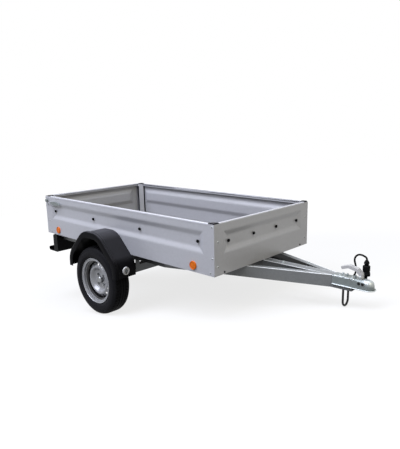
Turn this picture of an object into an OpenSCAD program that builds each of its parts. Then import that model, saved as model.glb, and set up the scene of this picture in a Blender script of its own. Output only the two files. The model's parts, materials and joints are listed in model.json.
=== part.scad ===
// Single-axle utility trailer: a pressed sheet-steel box with a drop tailgate on a three-member drawbar.
// Lengths are millimetres. Every piece is laid out with the drawbar level, x forward from the axle,
// y to the left and z up from the ground. park() then lowers the nose on to the support hoop.

/* [Box] */
// Length of the box over the front panel and the tailgate
bed_len = 2090; // [1800:10:2400]
// Width of the box over the side panels
bed_w = 1120; // [1060:10:1240]
// Height of the walls
wall_h = 345; // [325:5:450]
// Height of the walls' lower edge above the ground, drawbar level
bed_z = 500; // [490:5:560]
// Distance from the tailgate's face forward to the axle
axle_from_rear = 970; // [860:10:1100]
// Thickness of the wall sheet
sheet_t = 1.5; // [1:0.1:2.5]
// Width of the rail folded inward along a wall's top
rail_w = 24; // [20:1:32]
// Depth of the rail's inner lip
rail_lip = 20; // [12:1:28]
// Height of the doubled hem along a wall's lower edge
hem_h = 14; // [8:1:20]

/* [Pressed band] */
// Distance from a wall's top down to the middle of its band
band_drop = 129; // [120:1:150]
// Height of the band over its slopes
band_h = 146; // [110:2:170]
// Height of each of the band's slopes
band_slope_h = 34; // [30:1:40]
// Depth of the band
band_depth = 13; // [6:1:18]
// Distance from a rear post to the band
band_clear = 8; // [4:1:40]
// Length of the slope at each end of the band
band_end_slope = 44; // [36:1:60]
// Radius of the soft creases along the band
band_round = 55; // [30:1:60]

/* [Corner posts] */
// Width of a post along each wall
post_w = 50; // [40:1:64]
// Width of the flat that a post shows at each side of its slanted face
post_flat = 16; // [10:1:24]
// Thickness of a post's sheet
post_t = 2; // [1.5:0.1:3]
// Height of the cap on a post
cap_h = 9; // [7:1:24]

/* [Floor] */
// Thickness of the floor board
floor_t = 9; // [6:1:15]
// Height of the cross-members under the floor
cross_h = 30; // [25:1:45]
// Width of a cross-member
cross_w = 50; // [40:1:80]
// Thickness of a cross-member's sheet
cross_t = 2; // [1.5:0.1:3]

/* [Tailgate] */
// Depth of the tailgate
gate_depth = 28; // [24:1:36]
// Gap between the tailgate and each side panel
gate_side_gap = 6; // [5:0.5:10]
// Gap between the tailgate's sweep and the posts it closes on
gate_gap = 5; // [5:0.5:10]
// Height of the hinge axis above the walls' lower edge
hinge_rise = 10; // [10:1:16]
// Radius of a hinge pin
hinge_pin_r = 5; // [4:0.5:7]
// Running clearance round a hinge pin
hinge_clear = 0.05; // [0.02:0.01:0.1]

/* [Drawbar] */
// Distance from the front panel forward to the centre of the coupling ball
drawbar_reach = 772; // [700:10:900]
// Height of the drawbar legs and the centre beam
leg_h = 82; // [70:1:100]
// Thickness of the drawbar legs
leg_t = 3; // [2:0.5:5]
// Width of the legs' flanges
leg_flange = 40; // [30:1:55]
// Distance from the middle to the outer face of each leg along the axle
rail_y = 440; // [400:5:470]
// Distance from the front panel back to where the legs turn straight
bend_back = 610; // [520:10:680]
// Distance from the ball's centre back to where the legs close up
kink_back = 232; // [200:1:260]
// Distance from the ball's centre back to the members' front ends
nose_back = 92; // [80:1:110]
// Width of the centre beam
beam_w = 64; // [50:1:76]
// Thickness of the centre beam's wall
beam_t = 3; // [2:0.5:5]

/* [Coupling] */
// Radius of the ball's socket
socket_r = 25.4; // [25.2:0.05:26]
// Depth of the socket's straight wall
socket_depth = 24; // [16:1:30]
// Height of the coupling's side walls
coupling_h = 60; // [50:1:72]
// Thickness of the coupling's pressed sheet
coupling_t = 3; // [2:0.5:5]
// Width of the lip round the coupling's lower edge
coupling_lip = 8; // [4:1:12]
// Radius of the coupling's folded edges
coupling_fold = 7; // [5:0.5:10]
// Wall round the ball's socket
socket_wall = 12; // [8:1:18]
// Distance from the ball's centre back to the coupling's rear end
coupling_back = 225; // [200:1:230]
// Width of the hand lever
lever_w = 36; // [28:1:44]
// Height of the hand lever's hump above the coupling
lever_rise = 76; // [60:1:90]
// Depth of the hand lever's cheeks
lever_cheek = 19; // [14:1:22]
// Thickness of the hand lever's sheet
lever_t = 4; // [3:0.5:6]

/* [Support hoop] */
// Distance from the ball's centre back to the hoop
hoop_back = 147; // [120:1:170]
// Height of the hoop below the drawbar
hoop_drop = 121; // [90:1:150]
// Radius of the hoop's rod
hoop_rod_r = 7; // [4:0.5:8]
// Half the distance between the hoop's legs
hoop_half = 35; // [20:1:36]

/* [Running gear] */
// Radius of the tyre
tyre_r = 274; // [260:1:290]
// Width of the tyre
tyre_w = 155; // [145:1:165]
// Thickness of the tyre's wall
tyre_t = 11; // [8:1:14]
// Radius of the rim's bead seat
seat_r = 166; // [160:1:172]
// Height of the rim's flange above the bead seat
flange_h = 16.5; // [12:0.5:20]
// Width between the rim's flanges
rim_w = 120; // [108:1:128]
// Thickness of the rim and its disc
rim_t = 3.5; // [2.5:0.5:5]
// Distance between the middles of the tyres
track = 1310; // [1300:5:1420]
// Number of vent holes in the disc
vents = 16; // [8:1:20]
// Radius of a vent hole
vent_r = 11; // [6:1:12]
// Radius of the circle of wheel bolts
bolt_circle_r = 50; // [46:1:57]
// Radius of the spindle
spindle_r = 17.5; // [14:0.5:20]
// Running clearance of the hub on the spindle
spindle_clear = 0.05; // [0.02:0.01:0.1]
// Distance from the wheel's centre forward to the axle beam
arm_reach = 130; // [110:1:160]
// Height of the axle beam's middle above the wheel's centre
arm_rise = 63; // [40:1:80]
// Width of the square axle beam
axle_w = 60; // [50:1:70]
// Thickness of the axle beam's wall
axle_t = 5; // [3:0.5:8]
// Thickness of a trailing arm
arm_t = 28; // [20:1:34]

/* [Mudguards] */
// Half the length of a mudguard
guard_half = 312; // [300:1:340]
// Width of a mudguard
guard_w = 188; // [184:1:230]
// Height of a mudguard's top above the walls' lower edge
guard_top = 165; // [130:1:200]
// Half the length of the flat on a mudguard's top
guard_flat = 100; // [80:1:140]
// Distance of a mudguard's ends below the walls' lower edge
guard_drop = 148; // [100:1:180]
// Distance of a mudguard's lower bends below the walls' lower edge
guard_bend_drop = 45; // [20:1:70]
// Thickness of a mudguard's wall
guard_t = 4; // [3:0.5:6]
// Depth of a mudguard's outer lip
guard_lip = 44; // [25:1:55]
// Width of the raised border along a mudguard's outer edge
guard_border = 34; // [20:1:50]

/* [Lamps and fittings] */
// Height of the light bar's web
bar_h = 185; // [160:1:200]
// Distance of the light bar below the walls' lower edge
bar_drop = 14; // [13:1:20]
// Length of the light bar
bar_len = 1000; // [940:10:1060]
// Reach of the light bar's lip behind its web
bar_lip = 153; // [120:1:160]
// Thickness of the light bar
bar_t = 3; // [2:0.5:5]
// Depth of the cheek at each end of the light bar
cheek_depth = 66; // [48:1:70]
// Width of a tail lamp
lamp_w = 200; // [160:5:230]
// Height of a tail lamp
lamp_h = 92; // [70:1:100]
// Depth of a tail lamp
lamp_depth = 40; // [25:1:42]
// Radius of a round reflector
reflector_r = 30; // [20:1:40]
// Height of the side reflectors above the walls' lower edge
reflector_z = 46; // [38:1:60]
// Distance of the side reflectors from the box's ends
reflector_inset = 190; // [150:5:240]
// Radius of a tarpaulin button
button_r = 11.5; // [8:0.5:15]
// Length of a latch lever
latch_len = 182; // [140:2:210]
// Half the width of a warning triangle at the rear
triangle_half = 78; // [70:1:80]

/* [Hidden] */
$fn = 64;
eps = 0.01;
seat_gap = 0.3;
front_x = bed_len - axle_from_rear;
rear_x = -axle_from_rear;
half_w = bed_w / 2;
ball_x = front_x + drawbar_reach;
wall_top = bed_z + wall_h;
band_z = wall_h - band_drop;

// Where the posts, the floor and the tailgate meet
post_front_x = front_x - sheet_t;
post_y = half_w - sheet_t;
hinge_x = rear_x + gate_depth / 2;
hinge_z = bed_z + hinge_rise;
post_rear_x = hinge_x + norm([gate_depth / 2, hinge_rise]) + gate_gap;
gate_half = half_w - sheet_t - gate_side_gap;
band_inset = post_rear_x - rear_x + post_w + band_clear;

// Drawbar: outer faces of the legs, seen from above, from the nose to the rear end
leg_in = beam_w / 2 + leg_t;
kink_x = ball_x - kink_back;
bend_x = front_x - bend_back;
nose_x = ball_x - nose_back;
bar_x = post_rear_x - bar_t;
leg_path = [[nose_x, -leg_in], [kink_x, -leg_in], [bend_x, -rail_y], [bar_x + bar_t, -rail_y]];
leg_angle = atan2(rail_y - leg_in, kink_x - bend_x);
leg_z = bed_z - leg_h;

// Cross-members: the x of each rear edge and half the length
cross_half = half_w - 2 * sheet_t;
cross_short = post_y - post_w - seat_gap;
cross_table = [
    [post_rear_x, cross_short],
    [(post_rear_x - cross_w) / 2, cross_half],
    [arm_reach - cross_w / 2, cross_half],
    [bend_x - cross_w / 2, cross_half],
    [front_x - 2 * sheet_t - cross_w, cross_short],
];

// Running gear
axle_z = tyre_r + arm_rise;
arm_y = rail_y + 62;
wheel_y = track / 2;
hub_in = -88;
hub_face = 6;
bracket_t = 5;
bracket_reach = 70;

// Tarpaulin buttons: places along the band of a side wall and of an end wall
button_inset = band_inset + band_end_slope + button_r;
function button_row(a, b) = [for (i = [0 : 3]) a + button_inset + (b - a - 2 * button_inset) * i / 3];

// Latches at the rear top corners
latch_x = rear_x + 22;
latch_z = wall_top - 55;
latch_plate_t = 2.5;
latch_plate_len = 165;
latch_plate_h = 76;

// Mudguard: outline from its rear end over the top to its front end
guard_pts = [
    [-guard_half, bed_z - guard_drop],
    [-guard_half, bed_z - guard_bend_drop],
    [-guard_flat, bed_z + guard_top],
    [guard_flat, bed_z + guard_top],
    [guard_half, bed_z - guard_bend_drop],
    [guard_half, bed_z - guard_drop],
];
guard_round = 160;
guard_border_h = 6;

// Coupling
coupling_half = leg_in + coupling_t;
coupling_z = bed_z - coupling_h + coupling_t;
coupling_top = bed_z + coupling_t;
cup_r = socket_r + socket_wall;
nose_dome = [[1, 0.3], [0.97, 0.5], [0.88, 0.72], [0.72, 0.88], [0.45, 1]];

// Tail lamps
lamp_y = bar_len / 2 - 16 - lamp_w / 2;
lamp_z = bed_z - 76 - lamp_h / 2;
lens_t = 14;
lamp_round = 16;

// Warning triangles, inboard of the lamps
triangle_gap = 56;
triangle_t = 7;
triangle_y = lamp_y - lamp_w / 2 - triangle_gap - triangle_half;
triangle_z = bed_z - 180;

// Plug and the cable's route, from its grommet on the left leg to the plug's gland
plug_x = ball_x - 42;
plug_y = beam_w / 2 + 22;
plug_z = bed_z + 12;
holder_r = 25;
holder_h = 14;
plug_nose_r = 19;
grommet_back = 30;
grommet_h = 10;
cable_r = 6;
cable_route = [
    [1635, 54.5, 458], [1639, 66, 458], [1648, 78, 458], [1663, 85, 458], [1682, 86, 459], [1702, 83, 461],
    [1722, 78, 465], [1742, 72, 473], [1760, 66, 487], [1773, 61, 505], [1780, 57, 526], [1781, 55, 548],
    [1777, 54, 570], [1771, 54, 591], [1771, 54, 610], [1779, 54, 626], [1793, 54, 637], [1811, 54, 640],
    [1829, 54, 636], [1845, 54, 628], [1850, 54, 619], [1850, 54, 611],
];

// Parked: the nose goes down about the axle until the hoop's rod meets the ground
hoop_x = ball_x - hoop_back;
hoop_z = leg_z - hoop_drop + hoop_rod_r;
park_dx = hoop_x;
park_dz = tyre_r - hoop_z;
park_arm = norm([park_dx, park_dz]);
park_angle = atan2(park_dx, park_dz) - acos((tyre_r - hoop_rod_r) / park_arm);

// The origin is below the middle of the parked trailer's length
nose_r = cup_r + coupling_lip;
function parked_x(x, z) = x * cos(park_angle) + (z - tyre_r) * sin(park_angle);
bar_top = bed_z - bar_drop;
lip_end_x = bar_x - bar_lip;
lip_curl = 34;
lip_hook = 30;
lip_round = 14;
park_front = parked_x(ball_x + nose_r, coupling_z + coupling_t);
park_back = parked_x(lip_end_x + lip_round, bar_top - bar_h + lip_round) - lip_round - bar_t;
park_mid = (park_front + park_back) / 2;

// Left-hand normal of the line from a to b
function normal(a, b) = [a[1] - b[1], b[0] - a[0]] / norm(b - a);
// An open path moved sideways by d, to the left of its direction, with mitred corners
function shifted(p, d) = [for (i = [0 : len(p) - 1])
    let (a = i > 0 ? normal(p[i - 1], p[i]) : normal(p[0], p[1]),
         b = i < len(p) - 1 ? normal(p[i], p[i + 1]) : a)
    p[i] + d * (a + b) / (1 + a * b)];
// The arc of radius r that rounds the corner b between a and c
function corner(a, b, c, r, n) =
    let (u = (a - b) / norm(a - b), v = (c - b) / norm(c - b), half = acos(u * v) / 2,
         m = b + (u + v) / norm(u + v) * r / sin(half), p = b + u * r / tan(half) - m,
         q = b + v * r / tan(half) - m, a0 = atan2(p[1], p[0]),
         turn = ((atan2(q[1], q[0]) - a0 + 540) % 360) - 180)
    [for (k = [0 : n]) m + r * [cos(a0 + turn * k / n), sin(a0 + turn * k / n)]];
// An open path with all its inner corners rounded
function rounded(p, r, n) = [p[0],
    for (i = [1 : len(p) - 2]) each corner(p[i - 1], p[i], p[i + 1], r, n),
    p[len(p) - 1]];
function reversed(p) = [for (i = [len(p) - 1 : -1 : 0]) p[i]];
function mirrored(p) = concat(p, [for (q = reversed(p)) [q[0], -q[1]]]);

// Turns the level trailer to its parked stance
module park() {
    translate([-park_mid, 0, tyre_r])
        rotate([0, park_angle, 0])
            translate([0, 0, -tyre_r])
                children();
}

// Draws a right-hand piece on the right (-1) or the left (1)
module on_side(side) {
    mirror([0, side > 0 ? 1 : 0, 0]) children();
}

// Band of sheet between two paths
module ribbon(outer, inner) {
    polygon(concat(outer, reversed(inner)));
}

// Profile in y and z drawn along x, from x0 to x1
module along_x(x0, x1) {
    translate([x0, 0, 0]) rotate([90, 0, 90]) linear_extrude(x1 - x0) children();
}

// Profile in x and z drawn along y, from y0 to y1
module along_y(y0, y1) {
    translate([0, y1, 0]) rotate([90, 0, 0]) linear_extrude(y1 - y0) children();
}

// Depth of the pressed band from a to b across a wall, its slopes of length s softened at their ends
function band_line(a, b, s) =
    let (d = band_depth)
    rounded([[a - s, 0], [a, 0], [a + s, d], [b - s, d], [b, 0], [b + s, 0]], band_round, 4);

// Form of the pressed band between two ends of a wall, from depth y0 to its full depth
module band_form(x0, x1, y0) {
    across = band_line(band_z - band_h / 2, band_z + band_h / 2, band_slope_h);
    length = band_line(x0 + band_inset, x1 - band_inset, band_end_slope);
    n = len(across) - 2;
    intersection() {
        along_x(x0, x1)
            polygon(concat([[y0, across[1][0]]], [for (i = [1 : n]) [across[i][1], across[i][0]]],
                [[y0, across[n][0]]]));
        linear_extrude(wall_h)
            polygon(concat([[length[1][0], y0]], [for (i = [1 : n]) length[i]], [[length[n][0], y0]]));
    }
}

// Wall with a pressed band, its outer face on y = 0: sheet from x0 to x1, folds from f0 to f1
module wall(x0, x1, f0, f1, rail) {
    difference() {
        union() {
            translate([x0, 0, 0]) cube([x1 - x0, sheet_t, wall_h]);
            along_x(f0, f1) fold_profile(rail);
            translate([0, sheet_t, 0]) band_form(x0, x1, -sheet_t / 2);
        }
        band_form(x0, x1, -1);
    }
}

// Doubled hem at the bottom, rail and inner lip at the top
module fold_profile(rail) {
    polygon([
        [0, 0], [2 * sheet_t, 0], [2 * sheet_t, hem_h], [sheet_t, hem_h], [sheet_t, wall_h - sheet_t],
        [rail - sheet_t, wall_h - sheet_t], [rail - sheet_t, wall_h - rail_lip], [rail, wall_h - rail_lip],
        [rail, wall_h], [0, wall_h]]);
}

module side_panel(side) {
    color("lightsteelblue")
        on_side(side)
            translate([0, -half_w, bed_z])
                wall(rear_x, post_front_x, post_rear_x + post_w, post_front_x - post_w, rail_w);
}

module front_panel() {
    fold = cross_short;
    color("lightsteelblue")
        translate([front_x, 0, bed_z])
            rotate([0, 0, 90])
                wall(-half_w, half_w, -fold, fold, rail_w);
}

// Pan with returns all round, bored at its lower corners for the hinge pins
module tailgate_panel() {
    color("lightsteelblue")
        difference() {
            union() {
                translate([rear_x, 0, bed_z])
                    rotate([0, 0, -90])
                        wall(-gate_half, gate_half, -gate_half, gate_half, gate_depth);
                for (side = [-1, 1]) on_side(side) {
                    translate([rear_x, -gate_half, bed_z]) cube([gate_depth, sheet_t, wall_h]);
                    along_y(-gate_half, -gate_half + gate_depth)
                        translate([hinge_x, hinge_z]) circle(r = hinge_pin_r + 4);
                }
                translate([rear_x, -gate_half, bed_z])
                    cube([gate_depth, 2 * gate_half, sheet_t]);
            }
            for (side = [-1, 1]) on_side(side)
                along_y(-gate_half - 1, -gate_half + gate_depth + 1)
                    translate([hinge_x, hinge_z]) circle(r = hinge_pin_r + hinge_clear);
        }
}

module hinge_pins() {
    color("silver")
        for (side = [-1, 1]) on_side(side) {
            along_y(-post_y, -gate_half + gate_depth - 2)
                translate([hinge_x, hinge_z]) circle(r = hinge_pin_r);
            along_y(-post_y, -gate_half - 2)
                translate([hinge_x, hinge_z]) circle(r = hinge_pin_r + 4);
        }
}

// Closed folded section of a corner post, its outer corner at the origin
module post_outline(w, flat) {
    polygon([[0, 0], [w, 0], [w, flat], [flat, w], [0, w]]);
}

// Repeats a corner piece in all four corners of the box
module at_corners(z) {
    for (side = [-1, 1]) on_side(side) {
        translate([post_rear_x, -post_y, z]) children();
        translate([post_front_x, -post_y, z]) mirror([1, 0, 0]) children();
    }
}

module corner_posts() {
    color("silver")
        at_corners(bed_z)
            difference() {
                linear_extrude(wall_h) post_outline(post_w, post_flat);
                translate([post_t, post_t, -1])
                    linear_extrude(wall_h + 2)
                        post_outline(post_w - 2 * post_t, post_flat - post_t * sqrt(2));
            }
}

module corner_caps() {
    brim = 5;
    crown = 9;
    color([0.07, 0.07, 0.08])
        at_corners(wall_top) {
            linear_extrude(brim) post_outline(post_w, post_flat);
            hull() {
                translate([0, 0, brim - eps]) linear_extrude(eps) post_outline(post_w, post_flat);
                translate([crown / 2, crown / 2, cap_h - eps])
                    linear_extrude(eps) post_outline(post_w - 2 * crown, post_flat);
            }
        }
}

module floor_board() {
    notch = post_w + seat_gap;
    a = post_rear_x;
    b = post_front_x - seat_gap;
    y = post_y - seat_gap;
    na = post_rear_x + notch;
    nb = post_front_x - notch;
    ny = post_y - notch;
    color([0.28, 0.2, 0.14])
        translate([0, 0, bed_z + cross_h])
            linear_extrude(floor_t)
                polygon([
                    [a, -ny], [na, -ny], [na, -y], [nb, -y], [nb, -ny], [b, -ny],
                    [b, ny], [nb, ny], [nb, y], [na, y], [na, ny], [a, ny]]);
}

module cross_members() {
    color("silver")
        for (row = cross_table)
            translate([row[0], 0, bed_z])
                along_y(-row[1], row[1])
                    difference() {
                        square([cross_w, cross_h]);
                        translate([cross_t, -1]) square([cross_w - 2 * cross_t, cross_h - cross_t + 1]);
                    }
}

// Round-headed button on a short stem, standing along z
module button() {
    rotate_extrude()
        polygon([
            [0, 0], [button_r * 0.6, 0], [button_r * 0.6, 4], [button_r, 5], [button_r, 9],
            [button_r * 0.8, 12], [button_r * 0.4, 13.5], [0, 14]]);
}

module tarp_buttons() {
    color([0.06, 0.06, 0.07]) {
        for (side = [-1, 1]) on_side(side)
            for (x = button_row(rear_x, post_front_x))
                translate([x, -half_w + band_depth, bed_z + band_z]) rotate([90, 0, 0]) button();
        for (y = button_row(-half_w, half_w))
            translate([front_x - band_depth, y, bed_z + band_z]) rotate([0, 90, 0]) button();
    }
}

module tailgate_buttons() {
    color([0.06, 0.06, 0.07])
        for (y = button_row(-gate_half, gate_half))
            translate([rear_x + band_depth, y, bed_z + band_z]) rotate([0, -90, 0]) button();
}

// Round reflector with a raised bezel, standing along z
module reflector() {
    bezel = 5;
    lens_r = reflector_r - bezel;
    rotate_extrude()
        polygon([[0, 0], [reflector_r, 0], [reflector_r, 5], [reflector_r - 1.5, 8], [lens_r + 1, 8],
            [lens_r, 5.5], [lens_r * 0.6, 6.6], [0, 7]]);
}

module side_reflectors() {
    color("orangered")
        for (side = [-1, 1]) on_side(side)
            for (x = [rear_x + reflector_inset, front_x - reflector_inset])
                translate([x, -half_w, bed_z + reflector_z]) rotate([90, 0, 0]) reflector();
}

module front_reflectors() {
    color("white")
        for (side = [-1, 1]) on_side(side)
            translate([guard_half, -half_w - guard_w / 2, bed_z - (guard_bend_drop + guard_drop) / 2])
                rotate([0, 90, 0]) reflector();
}

module latch_plates() {
    color("whitesmoke")
        for (side = [-1, 1]) on_side(side)
            along_y(-half_w - latch_plate_t, -half_w)
                translate([latch_x, latch_z - latch_plate_h * 0.35]) square([latch_plate_len, latch_plate_h]);
}

// Lens-shaped lever that lies along the wall, with a knob behind it and a small pivot below
module latch_levers() {
    half = latch_len / 2;
    rise = 17;
    lever_depth = 9;
    lever_lean = 2;
    lever_start = [latch_x + 56, latch_z + 1];
    knob = [latch_x + 16, latch_z + 18];
    knob_r = 13;
    pivot = [latch_x + 30, latch_z - 16];
    pivot_r = 7;
    arc_r = (half * half + rise * rise) / (2 * rise);
    face = -half_w - latch_plate_t;
    color([0.2, 0.21, 0.23])
        for (side = [-1, 1]) on_side(side) {
            along_y(face - lever_depth, face)
                translate(lever_start)
                    rotate(-lever_lean)
                        intersection($fn = 360) {
                            translate([half, arc_r - rise]) circle(r = arc_r);
                            translate([half, rise - arc_r]) circle(r = arc_r);
                        }
            along_y(face - 2 * lever_depth, face) translate(knob) circle(r = knob_r);
            along_y(face - lever_depth / 2, face) translate(pivot) circle(r = pivot_r);
        }
}

// Folded channel, web outside, with flanges trimmed where it runs along the centre beam
module drawbar_leg(side) {
    web_in = shifted(leg_path, -leg_t);
    flange_in = shifted(leg_path, -leg_flange);
    color("silver")
        on_side(side) {
            translate([0, 0, leg_z]) linear_extrude(leg_h) ribbon(leg_path, web_in);
            for (z = [leg_z, bed_z - leg_t])
                intersection() {
                    translate([0, 0, z]) linear_extrude(leg_t) ribbon(leg_path, flange_in);
                    translate([rear_x, -half_w, z - 1])
                        cube([ball_x - rear_x, half_w - beam_w / 2, leg_t + 2]);
                }
        }
}

module centre_beam() {
    color("silver")
        translate([0, 0, leg_z])
            along_x(bend_x - cross_w / 2, nose_x)
                difference() {
                    translate([-beam_w / 2, 0]) square([beam_w, leg_h]);
                    translate([-beam_w / 2 + beam_t, beam_t])
                        square([beam_w - 2 * beam_t, leg_h - 2 * beam_t]);
                }
}

// Pressed channel over the drawbar, closing to a cup over the ball
module coupling_head() {
    channel = [[-coupling_half - coupling_lip, coupling_z], [-coupling_half, coupling_z + coupling_lip / 2],
        [-coupling_half, coupling_top], [coupling_half, coupling_top],
        [coupling_half, coupling_z + coupling_lip / 2], [coupling_half + coupling_lip, coupling_z]];
    outer = rounded(channel, coupling_fold, 4);
    inner = shifted(channel, -coupling_t);
    fill_r = cup_r - coupling_t / 2;
    fill_h = coupling_h - coupling_t / 2;
    cup = [[0, 0], [fill_r, 0], for (ring = nose_dome) [fill_r * ring[0], fill_h * ring[1]], [0, fill_h]];
    color("gainsboro")
        difference() {
            union() {
                along_x(ball_x - coupling_back, nose_x + seat_gap) ribbon(outer, inner);
                difference() {
                    nose_form(0, coupling_z, coupling_top);
                    nose_form(coupling_t, coupling_z - 1, coupling_top - coupling_t);
                }
                translate([0, 0, coupling_z])
                    linear_extrude(coupling_t) {
                        difference() {
                            nose_plan(coupling_lip);
                            nose_plan(-coupling_t);
                        }
                    }
                translate([ball_x, 0, coupling_z]) rotate_extrude() polygon(cup);
            }
            translate([ball_x, 0, coupling_z - 1]) cylinder(r = socket_r, h = socket_depth + 1);
            translate([ball_x, 0, coupling_z + socket_depth]) sphere(r = socket_r);
        }
}

// Plan of the coupling's nose, grown by d
module nose_plan(d) {
    hull($fn = 32) {
        translate([nose_x, -coupling_half - d]) square([eps, 2 * (coupling_half + d)]);
        translate([ball_x, 0]) circle(r = cup_r + d);
    }
}

// Nose from the channel's end to the dome over the ball, shrunk by d
module nose_form(d, z0, z1) {
    half = coupling_half - d;
    end = [[-half, z0], [-half, z1], [half, z1], [half, z0]];
    hull($fn = 32) {
        along_x(nose_x, nose_x + eps) polygon(rounded(end, coupling_fold - d, 4));
        for (ring = nose_dome)
            translate([ball_x, 0, z0]) cylinder(r = (cup_r - d) * ring[0], h = (z1 - z0) * ring[1]);
    }
}

// Hand lever: a hollow hump on two cheeks above the coupling
module coupling_lever() {
    base = coupling_top;
    top = base + lever_rise;
    pivot_x = ball_x - 62;
    tip_back = 116;
    hump_back = 66;
    path = [[pivot_x + 24, base], [pivot_x + 24, base + 32], [pivot_x - 6, top - 14],
        [pivot_x - hump_back, top], [pivot_x - tip_back, top - 16]];
    color("silver") {
        along_y(-lever_w / 2, lever_w / 2)
            ribbon(rounded(path, 16, 5), rounded(shifted(path, lever_t), 16 - lever_t, 5));
        for (side = [-1, 1]) on_side(side)
            along_y(-lever_w / 2, -lever_w / 2 + lever_t)
                ribbon(rounded(path, 16, 5), shifted(path, lever_cheek));
    }
}

// Bent rod: a half ring with two straight legs up to the drawbar
module support_hoop() {
    bend_z = hoop_z + hoop_half;
    color("silver")
        translate([hoop_x, 0, bend_z]) {
            rotate([90, 180, 90])
                rotate_extrude(angle = 180) translate([hoop_half, 0]) circle(r = hoop_rod_r);
            for (y = [-hoop_half, hoop_half])
                translate([0, y, 0]) rotate(90) cylinder(r = hoop_rod_r, h = leg_z - bend_z);
        }
}

// Ring on a bracket that stands on the coupling's left side
module plug_holder() {
    foot = 34;
    color([0.1, 0.1, 0.11])
        difference() {
            union() {
                translate([plug_x, plug_y, plug_z]) cylinder(r = holder_r, h = holder_h);
                translate([plug_x - 15, coupling_half, plug_z - foot]) cube([30, 3, foot + holder_h]);
            }
            translate([plug_x, plug_y, plug_z + 3]) cylinder(r = plug_nose_r + seat_gap, h = holder_h);
        }
}

// Seven-pin plug resting nose down in its holder, with a stout ribbed body and a round cable gland
module plug() {
    top = 52;
    neck_r = 11;
    gland_r = 16.5;
    gland = 85;
    body_r = holder_r - 2;
    color([0.05, 0.05, 0.06])
        translate([plug_x, plug_y, plug_z + holder_h])
            rotate_extrude()
                polygon([
                    [0, -holder_h + 4], [plug_nose_r, -holder_h + 4], [plug_nose_r, 0], [body_r, 0],
                    [body_r, 10], [body_r - 2, 12], [body_r - 2, 16], [body_r, 18], [body_r, top - 4],
                    [body_r - 4, top], [neck_r, top + 1], [neck_r, top + 3], [gland_r - 3, top + 6],
                    [gland_r, top + 13], [gland_r, top + 19], [gland_r - 3, top + 26], [cable_r + 4, gland],
                    [0, gland]]);
}

module cable_grommet() {
    color([0.05, 0.05, 0.06])
        translate([kink_x, leg_in, bed_z - 42])
            rotate([0, 0, -leg_angle])
                translate([-grommet_back, 0, 0])
                    rotate([-90, 0, 0])
                        cylinder(r1 = 10, r2 = 7, h = grommet_h);
}

// Round tube of eight sides swept along a list of points
module tube(points, r) {
    sides = 8;
    n = len(points);
    function heading(i) = let (d = points[min(i + 1, n - 1)] - points[max(i - 1, 0)]) d / norm(d);
    function across(h) = let (c = cross(h, [0.2, -0.1, 0.97])) c / norm(c);
    ring = [for (i = [0 : n - 1]) let (h = heading(i), u = across(h), v = cross(h, u))
        for (k = [0 : sides - 1]) points[i] + r * (u * cos(360 * k / sides) + v * sin(360 * k / sides))];
    walls = [for (i = [0 : n - 2], k = [0 : sides - 1]) let (k2 = (k + 1) % sides)
        each [[i * sides + k, (i + 1) * sides + k, (i + 1) * sides + k2],
              [i * sides + k, (i + 1) * sides + k2, i * sides + k2]]];
    polyhedron(points = ring, faces = concat(
        [[for (k = [0 : sides - 1]) k]], [[for (k = [sides - 1 : -1 : 0]) (n - 1) * sides + k]], walls));
}

module plug_cable() {
    color([0.05, 0.05, 0.06]) tube(cable_route, cable_r);
}

module axle_beam() {
    color("silver")
        along_y(-arm_y, arm_y)
            translate([arm_reach, axle_z])
                difference() {
                    square(axle_w, center = true);
                    square(axle_w - 2 * axle_t, center = true);
                }
}

// Saddles that hang the axle beam under the legs
module axle_brackets() {
    color("silver")
        for (side = [-1, 1]) on_side(side)
            along_y(-rail_y, -rail_y + leg_flange)
                translate([arm_reach, 0]) {
                    translate([-bracket_reach, leg_z - bracket_t]) square([2 * bracket_reach, bracket_t]);
                    for (x = [-axle_w / 2 - bracket_t, axle_w / 2])
                        translate([x, axle_z]) square([bracket_t, leg_z - axle_z]);
                }
}

// Trailing arms with the spindles that carry the wheels
module trailing_arms() {
    root_r = 42;
    end_r = 32;
    lean = atan2(arm_rise, arm_reach);
    across = [-sin(lean), cos(lean)];
    root = [arm_reach, axle_z];
    end = [0, tyre_r];
    color([0.35, 0.36, 0.38])
        for (side = [-1, 1]) on_side(side) {
            along_y(-arm_y - arm_t, -arm_y) {
                translate(root) circle(r = root_r);
                translate(end) circle(r = end_r);
                polygon([root + root_r * across, end + end_r * across,
                    end - end_r * across, root - root_r * across]);
            }
            along_y(-wheel_y - hub_in + 8, -arm_y - arm_t) translate(end) circle(r = end_r);
            along_y(-wheel_y + 22, -arm_y - arm_t) translate(end) circle(r = spindle_r);
        }
}

// Moulded shell with an outer lip, a border of two raised beads and an inner wall against the box
module mudguard(side) {
    inner_wall = 60;
    arc_n = 10;
    bead = 13;
    edge = -half_w - guard_w;
    outer = rounded(guard_pts, guard_round, arc_n);
    inner = rounded(shifted(guard_pts, -guard_t), guard_round - guard_t, arc_n);
    lip = rounded(shifted(guard_pts, -guard_lip), guard_round - guard_lip, arc_n);
    back = rounded(shifted(guard_pts, -inner_wall), guard_round - inner_wall, arc_n);
    low = rounded(shifted(guard_pts, guard_border_h / 2), guard_round + guard_border_h / 2, arc_n);
    raised = rounded(shifted(guard_pts, guard_border_h), guard_round + guard_border_h, arc_n);
    color([0.09, 0.09, 0.1])
        on_side(side) {
            along_y(edge, -half_w) ribbon(outer, inner);
            along_y(edge, edge + guard_t) ribbon(raised, lip);
            along_y(edge, edge + guard_border) ribbon(low, inner);
            for (y = [edge, edge + guard_border - bead]) along_y(y, y + bead) ribbon(raised, inner);
            along_y(-half_w - guard_t, -half_w) ribbon(outer, back);
        }
}

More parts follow.
